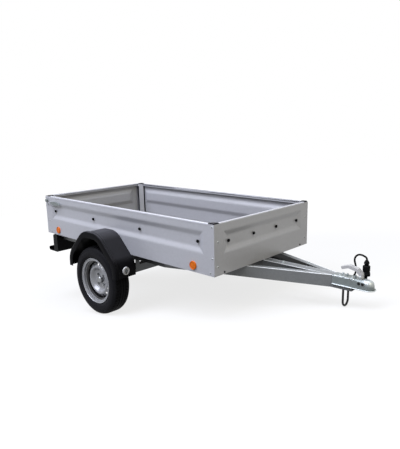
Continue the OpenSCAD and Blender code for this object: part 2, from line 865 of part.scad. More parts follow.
// Folded bar that carries the tail lamps, with a hooked lip below them and a cheek at each end
module light_bar() {
    low = bar_top - bar_h;
    cheek_cut = 28;
    path = [[bar_x, bar_top], [bar_x, low], [lip_end_x, low], [lip_end_x, low + lip_curl],
        [lip_end_x + lip_hook, low + lip_curl]];
    middle = shifted(path, bar_t / 2);
    cheek = [middle[0], middle[1], [bar_x - cheek_depth, middle[1][1]]];
    color([0.08, 0.08, 0.09]) {
        along_y(-bar_len / 2, bar_len / 2)
            ribbon(rounded(path, lip_round, 4), rounded(shifted(path, bar_t), lip_round + bar_t, 4));
        for (side = [-1, 1]) on_side(side)
            along_y(-bar_len / 2, -bar_len / 2 + bar_t)
                polygon(concat(rounded(cheek, lip_round + bar_t / 2, 4),
                    [[bar_x - cheek_depth, bar_top - cheek_cut]]));
    }
}

// Outline of a plate of width w and height h with round corners
function plate(w, h, r) =
    let (corners = [[w - r, r, -90], [w - r, h - r, 0], [r, h - r, 90], [r, r, 180]])
    [for (c = corners, k = [0 : 4]) [c[0], c[1]] + r * [cos(c[2] + 22.5 * k), sin(c[2] + 22.5 * k)]];

module lamp_bodies() {
    color([0.07, 0.07, 0.08])
        for (side = [-1, 1]) on_side(side)
            along_x(bar_x - lamp_depth + lens_t, bar_x)
                translate([-lamp_y - lamp_w / 2, lamp_z - lamp_h / 2])
                    polygon(plate(lamp_w, lamp_h, lamp_round));
}

// An outer and an inner lens on each lamp, each with a stepped face
module lamp_lenses() {
    rim = 4;
    split = 3;
    step = 4;
    outer_w = (lamp_w - 2 * rim) * 0.38;
    inner_w = lamp_w - 2 * rim - split - outer_w;
    high = lamp_h - 2 * rim;
    face = bar_x - lamp_depth;
    table = [[0, outer_w], [outer_w + split, inner_w]];
    color("firebrick")
        for (side = [-1, 1]) on_side(side)
            for (row = table)
                translate([0, -lamp_y - lamp_w / 2 + rim + row[0], lamp_z - high / 2]) {
                    along_x(face + step, face + lens_t) polygon(plate(row[1], high, lamp_round - rim));
                    along_x(face, face + lens_t)
                        translate([step, step])
                            polygon(plate(row[1] - 2 * step, high - 2 * step, lamp_round - rim - step));
                }
}

module rear_triangles() {
    rise = 2 * triangle_half * sin(60);
    color("firebrick")
        for (side = [-1, 1])
            translate([bar_x - triangle_t, side * triangle_y, triangle_z])
                rotate([90, 0, 90])
                    linear_extrude(triangle_t)
                        polygon(corner_cut(triangle_half, rise, 12));
}

// Triangle of half width w and height h with its points cut off by d
function corner_cut(w, h, d) = [
    [-w + d, 0], [w - d, 0], [w - d / 2, d * 0.87], [d / 2, h - d * 0.87], [-d / 2, h - d * 0.87],
    [-w + d / 2, d * 0.87]];

// Stands a wheel piece, built along z with its outer side up, on its spindle
module wheel(side) {
    translate([0, side * wheel_y, tyre_r]) rotate([-90 * side, 0, 0]) children();
}

module tyre(side) {
    bead = rim_w / 2 - 1;
    half = [[seat_r + seat_gap, bead], [seat_r + flange_h, bead + 2], [seat_r + flange_h + 9, bead + 10],
        [seat_r + 56, tyre_w / 2],
        [tyre_r - 26, tyre_w / 2 - 4], [tyre_r - 7, tyre_w / 2 - 19], [tyre_r, tyre_w / 2 - 36]];
    inside = [[tyre_r - tyre_t, tyre_w / 2 - 40], [tyre_r - 32, tyre_w / 2 - 4 - tyre_t],
        [seat_r + 52, tyre_w / 2 - tyre_t], [seat_r + seat_gap, bead - tyre_t]];
    color([0.06, 0.06, 0.06])
        wheel(side) rotate_extrude() polygon(concat(mirrored(half), reversed(mirrored(reversed(inside)))));
}

// Steel rim with its pressed disc, vent holes, bolt holes and centre bore
module rim(side) {
    edge = rim_w / 2;
    well_r = seat_r - 16;
    tip_r = seat_r + flange_h;
    outboard = [[tip_r, edge + 8], [tip_r - 2.5, edge + 3.5], [tip_r - 7, edge + 1], [seat_r + 2, edge + 1],
        [seat_r, edge], [seat_r, edge - 16], [well_r, edge - 28]];
    inboard = [[well_r, -edge + 50], [seat_r, -edge + 32], [seat_r, -edge], [seat_r + 2, -edge - 1],
        [tip_r - 7, -edge - 1], [tip_r - 2.5, -edge - 3.5], [tip_r, -edge - 8]];
    barrel = concat(outboard, inboard);
    n = len(outboard);
    inside = shifted(barrel, -rim_t);
    disc_r = well_r - rim_t;
    disc_out = hub_face + rim_t;
    disc = [[disc_r, -4], [disc_r, disc_out + 3], [disc_r - 5, disc_out + 9], [disc_r - 30, disc_out + 27],
        [disc_r - 37, disc_out + 31], [disc_r - 43, disc_out + 31], [disc_r - 49, disc_out + 28],
        [disc_r - 64, disc_out + 9], [disc_r - 73, disc_out + 2], [disc_r - 84, disc_out], [29, disc_out]];
    section = concat(barrel, [for (i = [2 * n - 1 : -1 : n]) inside[i]], [disc[0]], shifted(disc, rim_t),
        [for (i = [len(disc) - 1 : -1 : 1]) disc[i]], [for (i = [n - 1 : -1 : 0]) inside[i]]);
    color("gainsboro")
        wheel(side)
            difference() {
                rotate_extrude() polygon(section);
                for (k = [0 : vents - 1]) rotate(360 * k / vents)
                    translate([disc_r - 18, 0, 0]) cylinder(r = vent_r, h = 2 * edge);
                for (k = [0 : 3]) rotate(90 * k + 45)
                    translate([bolt_circle_r, 0, 0]) cylinder(r = 7, h = edge);
            }
}

// Hub on the spindle, with its flange, wheel bolts and dust cap
module hub(side) {
    disc_out = hub_face + rim_t;
    color("dimgray")
        wheel(side)
            difference() {
                union() {
                    rotate_extrude()
                        polygon([
                            [0, hub_in], [30, hub_in], [36, hub_in + 8], [36, -18], [44, -6], [66, -6],
                            [66, hub_face], [27, hub_face], [27, hub_face + 22], [22, hub_face + 29],
                            [10, hub_face + 32], [0, hub_face + 32.5]]);
                    for (k = [0 : 3]) rotate(90 * k + 45) translate([bolt_circle_r, 0, 0]) {
                        cylinder(r = 6.5, h = disc_out + 2);
                        translate([0, 0, disc_out]) cylinder(r1 = 11, r2 = 10, h = 4);
                        translate([0, 0, disc_out]) cylinder(r = 9.8, h = 16, $fn = 6);
                    }
                }
                translate([0, 0, hub_in - 1]) cylinder(r = spindle_r + spindle_clear, h = 70);
            }
}

park() floor_board();
park() cross_members();
park() side_panel(-1);  // side_panel_right
park() side_panel(1);  // side_panel_left
park() front_panel();
park() corner_posts();
park() corner_caps();
park() tarp_buttons();
park() side_reflectors();
park() latch_plates();
park() latch_levers();
park() hinge_pins();
park() tailgate_panel();
park() tailgate_buttons();
park() drawbar_leg(-1);  // drawbar_leg_right
park() drawbar_leg(1);  // drawbar_leg_left
park() centre_beam();
park() coupling_head();
park() coupling_lever();
park() support_hoop();
park() plug_holder();
park() plug();
park() cable_grommet();
park() plug_cable();
park() axle_beam();
park() axle_brackets();
park() trailing_arms();
park() mudguard(-1);  // mudguard_right
park() mudguard(1);  // mudguard_left
park() front_reflectors();
park() light_bar();
park() lamp_bodies();
park() lamp_lenses();
park() rear_triangles();
park() tyre(-1);  // tyre_right
park() rim(-1);  // rim_right
park() hub(-1);  // hub_right
park() tyre(1);  // tyre_left
park() rim(1);  // rim_left
park() hub(1);  // hub_left
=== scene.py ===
"""Looks of a small utility trailer: finishes, tyres, mudguards, fasteners, cable, studio and camera.

Lengths are metres. A place on the trailer is given with its drawbar level: x forward from the axle, y to the
left and z up from the ground. Stance turns such a place to where the parked trailer holds it.
"""
import json
import logging
import math
from dataclasses import dataclass, field
from enum import Enum
from typing import Callable, Sequence

import bmesh
import bpy
from mathutils import Matrix, Vector


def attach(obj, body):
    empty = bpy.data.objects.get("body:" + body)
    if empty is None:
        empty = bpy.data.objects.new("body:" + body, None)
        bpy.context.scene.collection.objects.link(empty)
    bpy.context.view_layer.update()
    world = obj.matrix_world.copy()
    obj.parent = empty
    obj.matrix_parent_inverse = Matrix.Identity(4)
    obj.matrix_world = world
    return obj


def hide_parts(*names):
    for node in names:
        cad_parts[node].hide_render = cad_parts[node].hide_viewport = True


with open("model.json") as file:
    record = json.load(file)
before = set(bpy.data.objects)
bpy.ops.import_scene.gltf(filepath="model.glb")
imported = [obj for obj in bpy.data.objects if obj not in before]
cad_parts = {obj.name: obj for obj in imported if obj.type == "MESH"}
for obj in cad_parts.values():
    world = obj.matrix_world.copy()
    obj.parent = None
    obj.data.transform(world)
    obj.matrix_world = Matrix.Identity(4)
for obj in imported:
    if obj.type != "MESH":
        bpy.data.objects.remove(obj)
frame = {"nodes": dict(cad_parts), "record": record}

LOG = logging.getLogger("trailer")
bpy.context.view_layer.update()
MM = 0.001
Pair = tuple[float, float]
Pairs = tuple[Pair, ...]
Point = tuple[float, float, float]
Colour = tuple[float, float, float]
Thing = bpy.types.Object
Socket = bpy.types.NodeSocket
Inputs = dict[str | int, object]
UP: Point = (0.0, 0.0, 1.0)
FORWARD: Point = (1.0, 0.0, 0.0)
POST_MM = 50.0


class Side(Enum):
    """The two sides of the trailer, by the sign of y."""

    RIGHT = -1
    LEFT = 1

    @property
    def label(self) -> str:
        """The side's name in lower case."""
        return self.name.lower()

    @property
    def out(self) -> Point:
        """The way outwards on this side."""
        return (0.0, float(self.value), 0.0)


@dataclass(frozen=True)
class Span:
    """Lowest and highest corner of a piece with the drawbar level."""

    low: Vector
    high: Vector

    @property
    def middle(self) -> Vector:
        """The middle of the span."""
        return (self.low + self.high) / 2

    @property
    def size(self) -> Vector:
        """The length, width and height of the span."""
        return self.high - self.low


@dataclass(frozen=True)
class Stance:
    """How the parked trailer leans about its wheels' axis."""

    axle: Vector
    tilt: float

    @classmethod
    def from_record(cls, record: dict) -> "Stance":
        """Reads the lean from the coupling's bore and the axis from a wheel's joint.

        Args:
            record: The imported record.

        Returns:
            The stance of the stored trailer.
        """
        socket = next(m for m in record["mounts"] if m["name"] == "coupling_socket")
        joint = next(j for j in record["behaviour"]["joints"] if j["name"] == "wheel_right_spin")
        down = Vector(socket["axis"])
        at = Vector(joint["pos_m"])
        return cls(axle=Vector((at.x, 0.0, at.z)), tilt=math.atan2(-down.x, -down.z))

    @property
    def matrix(self) -> Matrix:
        """The move from level places to parked ones."""
        turn = Matrix.Rotation(self.tilt, 4, "Y")
        return Matrix.Translation(self.axle) @ turn @ Matrix.Translation((0.0, 0.0, -self.axle.z))

    def place(self, point: Sequence[float]) -> Vector:
        """The parked place of a level point."""
        return self.matrix @ Vector(point)

    def span(self, node: str) -> Span:
        """Measures a CAD node with the drawbar level.

        Args:
            node: The node's name.

        Returns:
            Its lowest and highest level corners.
        """
        back = self.matrix.inverted()
        points = [back @ v.co for v in frame["nodes"][node].data.vertices]
        return Span(*(Vector([pick(p[i] for p in points) for i in range(3)]) for pick in (min, max)))


STANCE = Stance.from_record(frame["record"])
span = STANCE.span


class Graph:
    """Short calls that add nodes to one node tree and join them."""

    def __init__(self, tree: bpy.types.NodeTree) -> None:
        """Keeps the tree that the calls work on."""
        self.tree = tree
        self.point: Socket | None = None

    @classmethod
    def of(cls, owner: bpy.types.Material | bpy.types.World) -> "Graph":
        """Empties the nodes of a material or a world.

        Args:
            owner: What the nodes belong to.

        Returns:
            The graph of its tree.
        """
        owner.use_nodes = True
        owner.node_tree.nodes.clear()
        return cls(owner.node_tree)

    def add(self, kind: str, inputs: Inputs | None = None, **settings: object) -> bpy.types.Node:
        """Adds a node.

        Args:
            kind: Blender's name for the node's type.
            inputs: Values, or sockets to link, by input name or index.
            **settings: The node's own properties.

        Returns:
            The new node.
        """
        node = self.tree.nodes.new(kind)
        for name, value in settings.items():
            setattr(node, name, value)
        for key, value in (inputs or {}).items():
            if isinstance(value, Socket):
                self.tree.links.new(value, node.inputs[key])
            else:
                node.inputs[key].default_value = value
        return node

    @property
    def place(self) -> Socket:
        """The point that is shaded, in the object's own coordinates."""
        self.point = self.point or self.add("ShaderNodeTexCoord").outputs["Object"]
        return self.point

    def effect(self, effect: "Effect", **inputs: object) -> dict[str, Socket]:
        """The outputs of a shared effect at the shaded point, by name."""
        node = self.add("ShaderNodeGroup", {"Place": self.place, **inputs}, node_tree=effect.group())
        return {socket.name: socket for socket in node.outputs}

    def axis(self, vector: Socket, name: str) -> Socket:
        """One coordinate of a vector."""
        return self.add("ShaderNodeSeparateXYZ", {0: vector}).outputs[name]

    def channel(self, colour: Socket, index: int) -> Socket:
        """One channel of a colour."""
        return self.add("ShaderNodeSeparateColor", {"Color": colour}).outputs[index]

    def distance(self, a: Socket, b: Sequence[float]) -> Socket:
        """How far a is from b."""
        return self.add("ShaderNodeVectorMath", {0: a, 1: b}, operation="DISTANCE").outputs["Value"]

    def math(self, operation: str, a: object, b: object = 0.0) -> Socket:
        """The result of one sum."""
        return self.add("ShaderNodeMath", {0: a, 1: b}, operation=operation).outputs[0]

    def mix(self, a: Socket, b: Socket, share: float) -> Socket:
        """Value a going to value b as share goes from 0 to 1."""
        return self.math("ADD", self.math("MULTIPLY", a, 1.0 - share), self.math("MULTIPLY", b, share))

    def scale(self, value: Socket, low: float, high: float) -> Socket:
        """A value from 0 to 1 spread from low to high."""
        node = self.add("ShaderNodeMapRange", {"Value": value, "To Min": low, "To Max": high})
        return node.outputs["Result"]

    def window(self, value: Socket, start: float, end: float) -> Socket:
        """A soft step from 0 at start to 1 at end."""
        limits = {"Value": value, "From Min": start, "From Max": end}
        return self.add("ShaderNodeMapRange", limits, interpolation_type="SMOOTHSTEP").outputs["Result"]

    def blend(self, share: Socket, a: object, b: object) -> Socket:
        """Colour a going to colour b as share goes from 0 to 1."""
        a, b = (c if isinstance(c, Socket) else (*c, 1.0) for c in (a, b))
        return self.add("ShaderNodeMix", {0: share, 6: a, 7: b}, data_type="RGBA").outputs[2]

    def noise(self, place: Socket, size: object, detail: float = 3.0) -> Socket:
        """Cloudy noise with so many features a metre."""
        node = self.add("ShaderNodeTexNoise", {"Vector": place, "Scale": size, "Detail": detail})
        return node.outputs["Fac"]

    def bump(self, height: Socket, distance: float, strength: float) -> Socket:
        """The normal that a height gives."""
        node = self.add("ShaderNodeBump", {"Height": height, "Distance": distance, "Strength": strength})
        return node.outputs["Normal"]


def spangle(graph: Graph, place: Socket, size: Socket) -> Inputs:
    """Draws the crystals of a zinc coat: a tone for each crystal and a faint height.

    Args:
        graph: The group's graph.
        place: The point that is shaded.
        size: Crystals a metre.

    Returns:
        The group's outputs.
    """
    small = graph.math("MULTIPLY", size, 2.7)
    crystal = graph.add("ShaderNodeTexVoronoi", {"Vector": place, "Scale": size}).outputs["Color"]
    fine = graph.add("ShaderNodeTexVoronoi", {"Vector": place, "Scale": small}).outputs["Color"]
    both = graph.mix(graph.channel(crystal, 0), graph.channel(fine, 1), 0.35)
    return {"Tone": both, "Height": graph.math("ADD", both, graph.noise(place, small, 2.0))}


def grain(graph: Graph, place: Socket, size: Socket) -> Inputs:
    """Fine moulded grain: a height and a slow tone."""
    slow = graph.math("MULTIPLY", size, 0.03)
    return {"Tone": graph.noise(place, slow), "Height": graph.noise(place, size, 4.0)}


def soil(graph: Graph, place: Socket, size: Socket, amount: Socket) -> Inputs:
    """Patches of road dust, as a mask."""
    patch = graph.window(graph.noise(place, size, 7.0), 0.42, 0.78)
    return {"Mask": graph.math("MULTIPLY", patch, amount)}


def brushing(graph: Graph, place: Socket, stretch: Socket) -> Inputs:
    """Rolling marks drawn out along one direction."""
    drawn = graph.add("ShaderNodeMapping", {"Vector": place, "Scale": stretch}).outputs[0]
    return {"Tone": graph.noise(drawn, 0.25), "Height": graph.noise(drawn, 1.0, 5.0)}


def prisms(graph: Graph, place: Socket, size: Socket) -> Inputs:
    """Small cells of a reflector or a lens, as a height and a tone for each cell."""
    cell = graph.add("ShaderNodeTexVoronoi", {"Vector": place, "Scale": size, "Randomness": 0.12},
                     distance="CHEBYCHEV").outputs
    return {"Tone": graph.channel(cell["Color"], 0), "Height": cell["Distance"]}


@dataclass(frozen=True)
class Effect:
    """A surface effect that several finishes share, as a node group whose outputs are all values."""

    name: str
    draw: Callable[..., Inputs]
    inputs: tuple[str, ...] = ("Place", "Size")

    def group(self) -> bpy.types.NodeTree:
        """Finds the effect's node group, and builds it the first time.

        Returns:
            The node group.
        """
        found = bpy.data.node_groups.get(self.name)
        if found:
            return found
        tree = bpy.data.node_groups.new(self.name, "ShaderNodeTree")
        for key in self.inputs:
            kind = "NodeSocketVector" if key in ("Place", "Stretch") else "NodeSocketFloat"
            tree.interface.new_socket(key, in_out="INPUT", socket_type=kind)
        graph = Graph(tree)
        given = graph.add("NodeGroupInput").outputs
        outputs = self.draw(graph, *(given[key] for key in self.inputs))
        for key in outputs:
            tree.interface.new_socket(key, in_out="OUTPUT", socket_type="NodeSocketFloat")
        graph.add("NodeGroupOutput", outputs)
        return tree


SPANGLE = Effect("spangle", spangle)
GRAIN = Effect("grain", grain)
SOIL = Effect("soil", soil, ("Place", "Size", "Amount"))
BRUSHING = Effect("brushing", brushing, ("Place", "Stretch"))
PRISMS = Effect("prisms", prisms)


@dataclass(frozen=True)
class Finish:
    """A finish that makes one material, with the slot that it fills if that has another name."""

    name: str
    fills: str = field(default="", kw_only=True)

    @property
    def slot(self) -> str:
        """The slot of the record that the finish fills."""
        return self.fills or self.name

    def material(self) -> bpy.types.Material:
        """Finds the finish's material, and builds it the first time.

        Returns:
            The material.
        """
        found = bpy.data.materials.get("finish_" + self.name)
        if found:
            return found
        made = bpy.data.materials.new("finish_" + self.name)
        graph = Graph.of(made)
        shader = graph.add("ShaderNodeBsdfPrincipled", self.shade(graph))
        graph.add("ShaderNodeOutputMaterial", {"Surface": shader.outputs["BSDF"]})
        return made

    def shade(self, graph: Graph) -> Inputs:
        """What the shader gets; each finish has its own way."""
        raise NotImplementedError


@dataclass(frozen=True)
class ZincCoat(Finish):
    """Galvanised or zinc-plated steel."""

    light: Colour
    dark: Colour
    roughness: Pair
    metallic: float = 0.85
    crystals: float = 70.0
    relief: float = 0.12
    height: float = 0.0004
    rolling: Point = (6.0, 6.0, 160.0)
    rolling_share: float = 0.4
    dust: float = 0.10
    dust_size: float = 3.5
    dust_colour: Colour = (0.42, 0.40, 0.36)
    # Painted shade: the coat darkens where ambient occlusion finds hollows and overhangs.
    painted_shade: float = 0.0
    hollow_reach: float = 0.3
    hollow_shade: Pair = (0.80, 0.45)
    hollow_colour: Colour = (0.010, 0.010, 0.010)
    # Painted highlight: a paler patch round one place, standing in for a reflection.
    polish_at: Point | None = None
    polish_reach: Pair = (0.058, 0.034)
    polish_colour: Colour = (0.400, 0.430, 0.428)

    def shade(self, graph: Graph) -> Inputs:
        """Mottles the coat by its crystals, with rolling marks and dust, painted shade in its hollows and a
        painted highlight round one place.

        Args:
            graph: The material's graph.

        Returns:
            The shader's inputs.
        """
        crystal = graph.effect(SPANGLE, Size=self.crystals)
        rolled = graph.effect(BRUSHING, Stretch=self.rolling)
        dusty = graph.effect(SOIL, Size=self.dust_size, Amount=self.dust)
        mottle = graph.mix(crystal["Tone"], rolled["Tone"], self.rolling_share)
        coat = graph.blend(mottle, self.dark, self.light)
        coat = graph.blend(dusty["Mask"], coat, self.dust_colour)
        # Painted shade in hollows and under overhangs, found by ambient occlusion.
        if self.painted_shade:
            clear = graph.add("ShaderNodeAmbientOcclusion", {"Distance": self.hollow_reach}, samples=8)
            painted_shade_mask = graph.window(clear.outputs["AO"], *self.hollow_shade)
            coat = graph.blend(graph.math("MULTIPLY", painted_shade_mask, self.painted_shade), coat, self.hollow_colour)
        # Painted highlight round one place.
        if self.polish_at:
            away = graph.distance(graph.place, STANCE.place(self.polish_at))
            coat = graph.blend(graph.window(away, *self.polish_reach), coat, self.polish_colour)
        return {
            "Base Color": coat,
            "Roughness": graph.scale(mottle, *self.roughness),
            "Normal": graph.bump(crystal["Height"], self.height, self.relief),
            "Metallic": self.metallic,
        }


class Weather(Enum):
    """Faces that painted light makes paler, by the axis that they face."""

    SKY = "Z"
    SIDES = "Y"


@dataclass(frozen=True)
class Moulding(Finish):
    """Moulded plastic or rubber: a grained, dusty skin in two tones, with painted light that makes faces
    paler by the way that they face.
    """

    colour: Colour
    roughness: Pair
    grain: float = 1400.0
    relief: float = 0.25
    height: float = 0.0005
    tones: Pair = (1.0, 1.5)
    specular: float = 0.5
    dust: float = 0.15
    dust_size: float = 11.0
    dust_colour: Colour = (0.030, 0.029, 0.029)
    painted_light: Colour | None = None
    bleach_from: float = 0.25
    weather: Weather = Weather.SKY

    def shade(self, graph: Graph) -> Inputs:
        """Grains the skin, varies its gloss, lays dust on it and paints light on the faces that look one
        way.

        Args:
            graph: The material's graph.

        Returns:
            The shader's inputs.
        """
        fine = graph.effect(GRAIN, Size=self.grain)
        dusty = graph.effect(SOIL, Size=self.dust_size, Amount=self.dust)
        low, high = (tuple(tone * c for c in self.colour) for tone in self.tones)
        body = graph.blend(dusty["Mask"], graph.blend(fine["Tone"], low, high), self.dust_colour)
        # Painted light: faces that look up, or to the sides, are made paler.
        if self.painted_light:
            facing = graph.axis(graph.add("ShaderNodeTexCoord").outputs["Normal"], self.weather.value)
            if self.weather is Weather.SIDES:
                facing = graph.math("ABSOLUTE", facing)
            body = graph.blend(graph.window(facing, self.bleach_from, 1.0), body, self.painted_light)
        return {
            "Base Color": body,
            "Roughness": graph.scale(fine["Tone"], *self.roughness),
            "Normal": graph.bump(fine["Height"], self.height, self.relief),
            "Specular IOR Level": self.specular,
        }


@dataclass(frozen=True)
class Enamel(Moulding):
    """Sprayed paint with a slight orange peel, with painted shade in a ring round the axle and behind a
    wheel's disc.
    """

    grain: float = 900.0
    relief: float = 0.08
    height: float = 0.0003
    tones: Pair = (0.86, 1.0)
    dust: float = 0.08
    dust_size: float = 9.0
    dust_colour: Colour = (0.30, 0.28, 0.25)
    metallic: float = 0.0
    coat: float = 0.0
    coat_roughness: float = 0.12
    grime: Point | None = None
    grime_fade: float = 0.003
    grime_colour: Colour = (0.012, 0.012, 0.013)

    def shade(self, graph: Graph) -> Inputs:
        """Adds metal flake, a clear coat and painted shade to the skin.

        Args:
            graph: The material's graph.

        Returns:
            The shader's inputs.
        """
        inputs = super().shade(graph)
        # Painted shade in the rim's well round the disc and on the wheel's inner side.
        if self.grime:
            inner, outer, back = self.grime
            fade = self.grime_fade
            level = {0: graph.place, 1: (1.0, 0.0, 1.0)}
            flat = graph.add("ShaderNodeVectorMath", level, operation="MULTIPLY").outputs[0]
            out = graph.distance(flat, STANCE.axle)
            inside = graph.window(out, inner - 2 * fade, inner + fade)
            ring = graph.math("MULTIPLY", inside, graph.window(out, outer + fade, outer - fade))
            across = graph.math("ABSOLUTE", graph.axis(graph.place, "Y"))
            mask = graph.math("MAXIMUM", ring, graph.window(across, back, back - fade))
            inputs["Base Color"] = graph.blend(mask, inputs["Base Color"], self.grime_colour)
        coat = {"Coat Weight": self.coat, "Coat Roughness": self.coat_roughness}
        return inputs | {"Metallic": self.metallic} | coat


@dataclass(frozen=True)
class Lens(Finish):
    """Clear moulded plastic over small prisms, perhaps of another colour towards the trailer's sides."""

    colour: Colour
    shade_colour: Colour
    cells: float = 330.0
    cell_edge: float = 0.5
    relief: float = 0.5
    height: float = 0.001
    roughness: Pair = (0.12, 0.28)
    specular: float = 0.12
    outer_colour: Colour | None = None
    outer_from: float = 0.0

    def shade(self, graph: Graph) -> Inputs:
        """Gives each prism its own tone under a glossy skin.

        Args:
            graph: The material's graph.

        Returns:
            The shader's inputs.
        """
        cell = graph.effect(PRISMS, Size=self.cells)
        tone = graph.math("MULTIPLY", cell["Tone"], graph.window(cell["Height"], 0.0, self.cell_edge))
        body = graph.blend(tone, self.colour, self.shade_colour)
        if self.outer_colour:
            across = graph.math("ABSOLUTE", graph.axis(graph.place, "Y"))
            body = graph.blend(graph.math("GREATER_THAN", across, self.outer_from), body, self.outer_colour)
        return {
            "Base Color": body,
            "Roughness": graph.scale(cell["Tone"], *self.roughness),
            "Normal": graph.bump(cell["Height"], self.height, self.relief),
            "Specular IOR Level": self.specular,
        }


@dataclass(frozen=True)
class FilmBoard(Finish):
    """Plywood with a printed non-slip film."""

    film: Colour
    worn: Colour
    mesh: float = 380.0
    mesh_relief: float = 0.6
    mesh_height: float = 0.0006
    scuffing: Point = (3.0, 90.0, 90.0)
    scuffed: Pair = (0.5, 0.8)
    scuff_share: float = 0.5
    dust: float = 0.35
    dust_size: float = 4.0
    roughness: Pair = (0.42, 0.7)

    def shade(self, graph: Graph) -> Inputs:
        """Presses a wire mesh into the film and scuffs it along the load's way.

        Args:
            graph: The material's graph.

        Returns:
            The shader's inputs.
        """
        mesh = graph.effect(PRISMS, Size=self.mesh)
        scuffs = graph.effect(BRUSHING, Stretch=self.scuffing)["Height"]
        dusty = graph.effect(SOIL, Size=self.dust_size, Amount=self.dust)
        worn = graph.math("MULTIPLY", graph.window(scuffs, *self.scuffed), self.scuff_share)
        return {
            "Base Color": graph.blend(dusty["Mask"], graph.blend(worn, self.film, self.worn), self.worn),
            "Roughness": graph.scale(scuffs, *self.roughness),
            "Normal": graph.bump(mesh["Height"], self.mesh_height, self.mesh_relief),
        }


PANEL = ZincCoat("galvanised_sheet", (0.400, 0.406, 0.430), (0.356, 0.361, 0.383), (0.34, 0.46),
                 metallic=0.12, dust=0.04)
# The drawbar's steel gets painted shade in its hollows and under the box.
STEEL = ZincCoat("galvanised_steel", (0.178, 0.187, 0.191), (0.132, 0.140, 0.144), (0.34, 0.50),
                 metallic=0.15, crystals=95, painted_shade=0.9)
# The coupling's zinc carries a painted highlight on its nose.
ZINC = ZincCoat("zinc_plate", (0.186, 0.212, 0.211), (0.134, 0.155, 0.154), (0.18, 0.28),
                metallic=0.35, crystals=60, relief=0.02, dust=0.04, polish_at=(1.908, 0.0, 0.512))
# A paler copy of the galvanised steel for the beads on the drawbar's edges: a painted highlight.
EDGE = ZincCoat("bright_edge", (0.570, 0.588, 0.594), (0.520, 0.537, 0.543), (0.30, 0.40),
                metallic=0.2, crystals=95, fills="galvanised_steel")
# A paler copy of the zinc plate for rivet heads, bolt heads and the coupling's folds and lip: a painted
# highlight.
HIGHLIGHT_ZINC = ZincCoat("bright_zinc", (0.500, 0.540, 0.540), (0.450, 0.486, 0.486), (0.18, 0.28),
                       metallic=0.35, relief=0.02, dust=0.0, fills="zinc_plate")
LEVER = ZincCoat("lever_zinc", (0.420, 0.420, 0.428), (0.360, 0.360, 0.368), (0.24, 0.34),
                 metallic=0.25, relief=0.02, dust=0.02, fills="galvanised_sheet")
CASTING = ZincCoat("cast_arm", (0.200, 0.206, 0.212), (0.130, 0.135, 0.140), (0.45, 0.6),
                   metallic=0.6, crystals=420, relief=0.5)
HUB = ZincCoat("cast_hub", (0.300, 0.306, 0.312), (0.190, 0.196, 0.202), (0.28, 0.42),
               crystals=500, relief=0.2)
# The wheel's paint gets painted shade in the well between disc and flange and behind the disc.
WHEEL_PAINT = Enamel("silver_paint", (0.275, 0.281, 0.292), (0.24, 0.34), metallic=0.3, coat=0.25,
                     relief=0.02, specular=0.3, grime=(0.139, 0.160, 0.655))
# Dark steel is the bolts' own colour; on the support hoop, a zinc-plated rod, it is painted shade.
DARK_STEEL = Enamel("dark_steel", (0.010, 0.010, 0.011), (0.28, 0.38), metallic=0.1, specular=0.2, dust=0.02)
POWDER = Enamel("black_paint", (0.0080, 0.0084, 0.0086), (0.36, 0.5), relief=0.2, specular=0.05, dust=0.05,
                dust_colour=(0.05, 0.048, 0.045))
# The guards' plastic gets painted light on the faces that look up.
PLASTIC = Moulding("black_plastic", (0.0036, 0.0036, 0.0042), (0.26, 0.36), specular=0.02, relief=0.12,
                   dust=0.08, painted_light=(0.036, 0.036, 0.040))
RUBBER = Moulding("black_rubber", (0.0030, 0.0030, 0.0033), (0.40, 0.52), grain=2200, relief=0.15, dust=0.03,
                  specular=0.04)
# The tyre gets painted light on its side walls.
TYRE_RUBBER = Moulding("tyre", (0.0040, 0.0040, 0.0044), (0.42, 0.56), grain=1800, dust=0.12, specular=0.025,
                       dust_colour=(0.013, 0.0125, 0.012), painted_light=(0.0125, 0.0125, 0.0140),
                       weather=Weather.SIDES)
AMBER = Lens("amber_reflector", (0.720, 0.165, 0.004), (0.460, 0.080, 0.002))
WHITE = Lens("white_reflector", (0.620, 0.625, 0.630), (0.420, 0.424, 0.430), cells=150)
PATTERN = Lens("reflector_pattern", (0.480, 0.485, 0.490), (0.012, 0.012, 0.014), cells=85,
               fills="white_reflector")
RED = Lens("red_lens", (0.400, 0.006, 0.005), (0.160, 0.002, 0.002), cells=240,
           outer_colour=(0.640, 0.150, 0.004), outer_from=0.4055)
BOARD = FilmBoard("floor_ply", (0.030, 0.027, 0.026), (0.105, 0.100, 0.097))

FINISH_OF_SLOT: dict[str, Finish] = {finish.name: finish for finish in (
    PANEL, STEEL, ZINC, CASTING, HUB, WHEEL_PAINT, DARK_STEEL, POWDER, PLASTIC, RUBBER, TYRE_RUBBER, AMBER,
    WHITE, RED, BOARD)}
FINISH_OF_NODE: dict[str, Finish] = {"coupling_lever": LEVER, "latch_levers": ZINC}


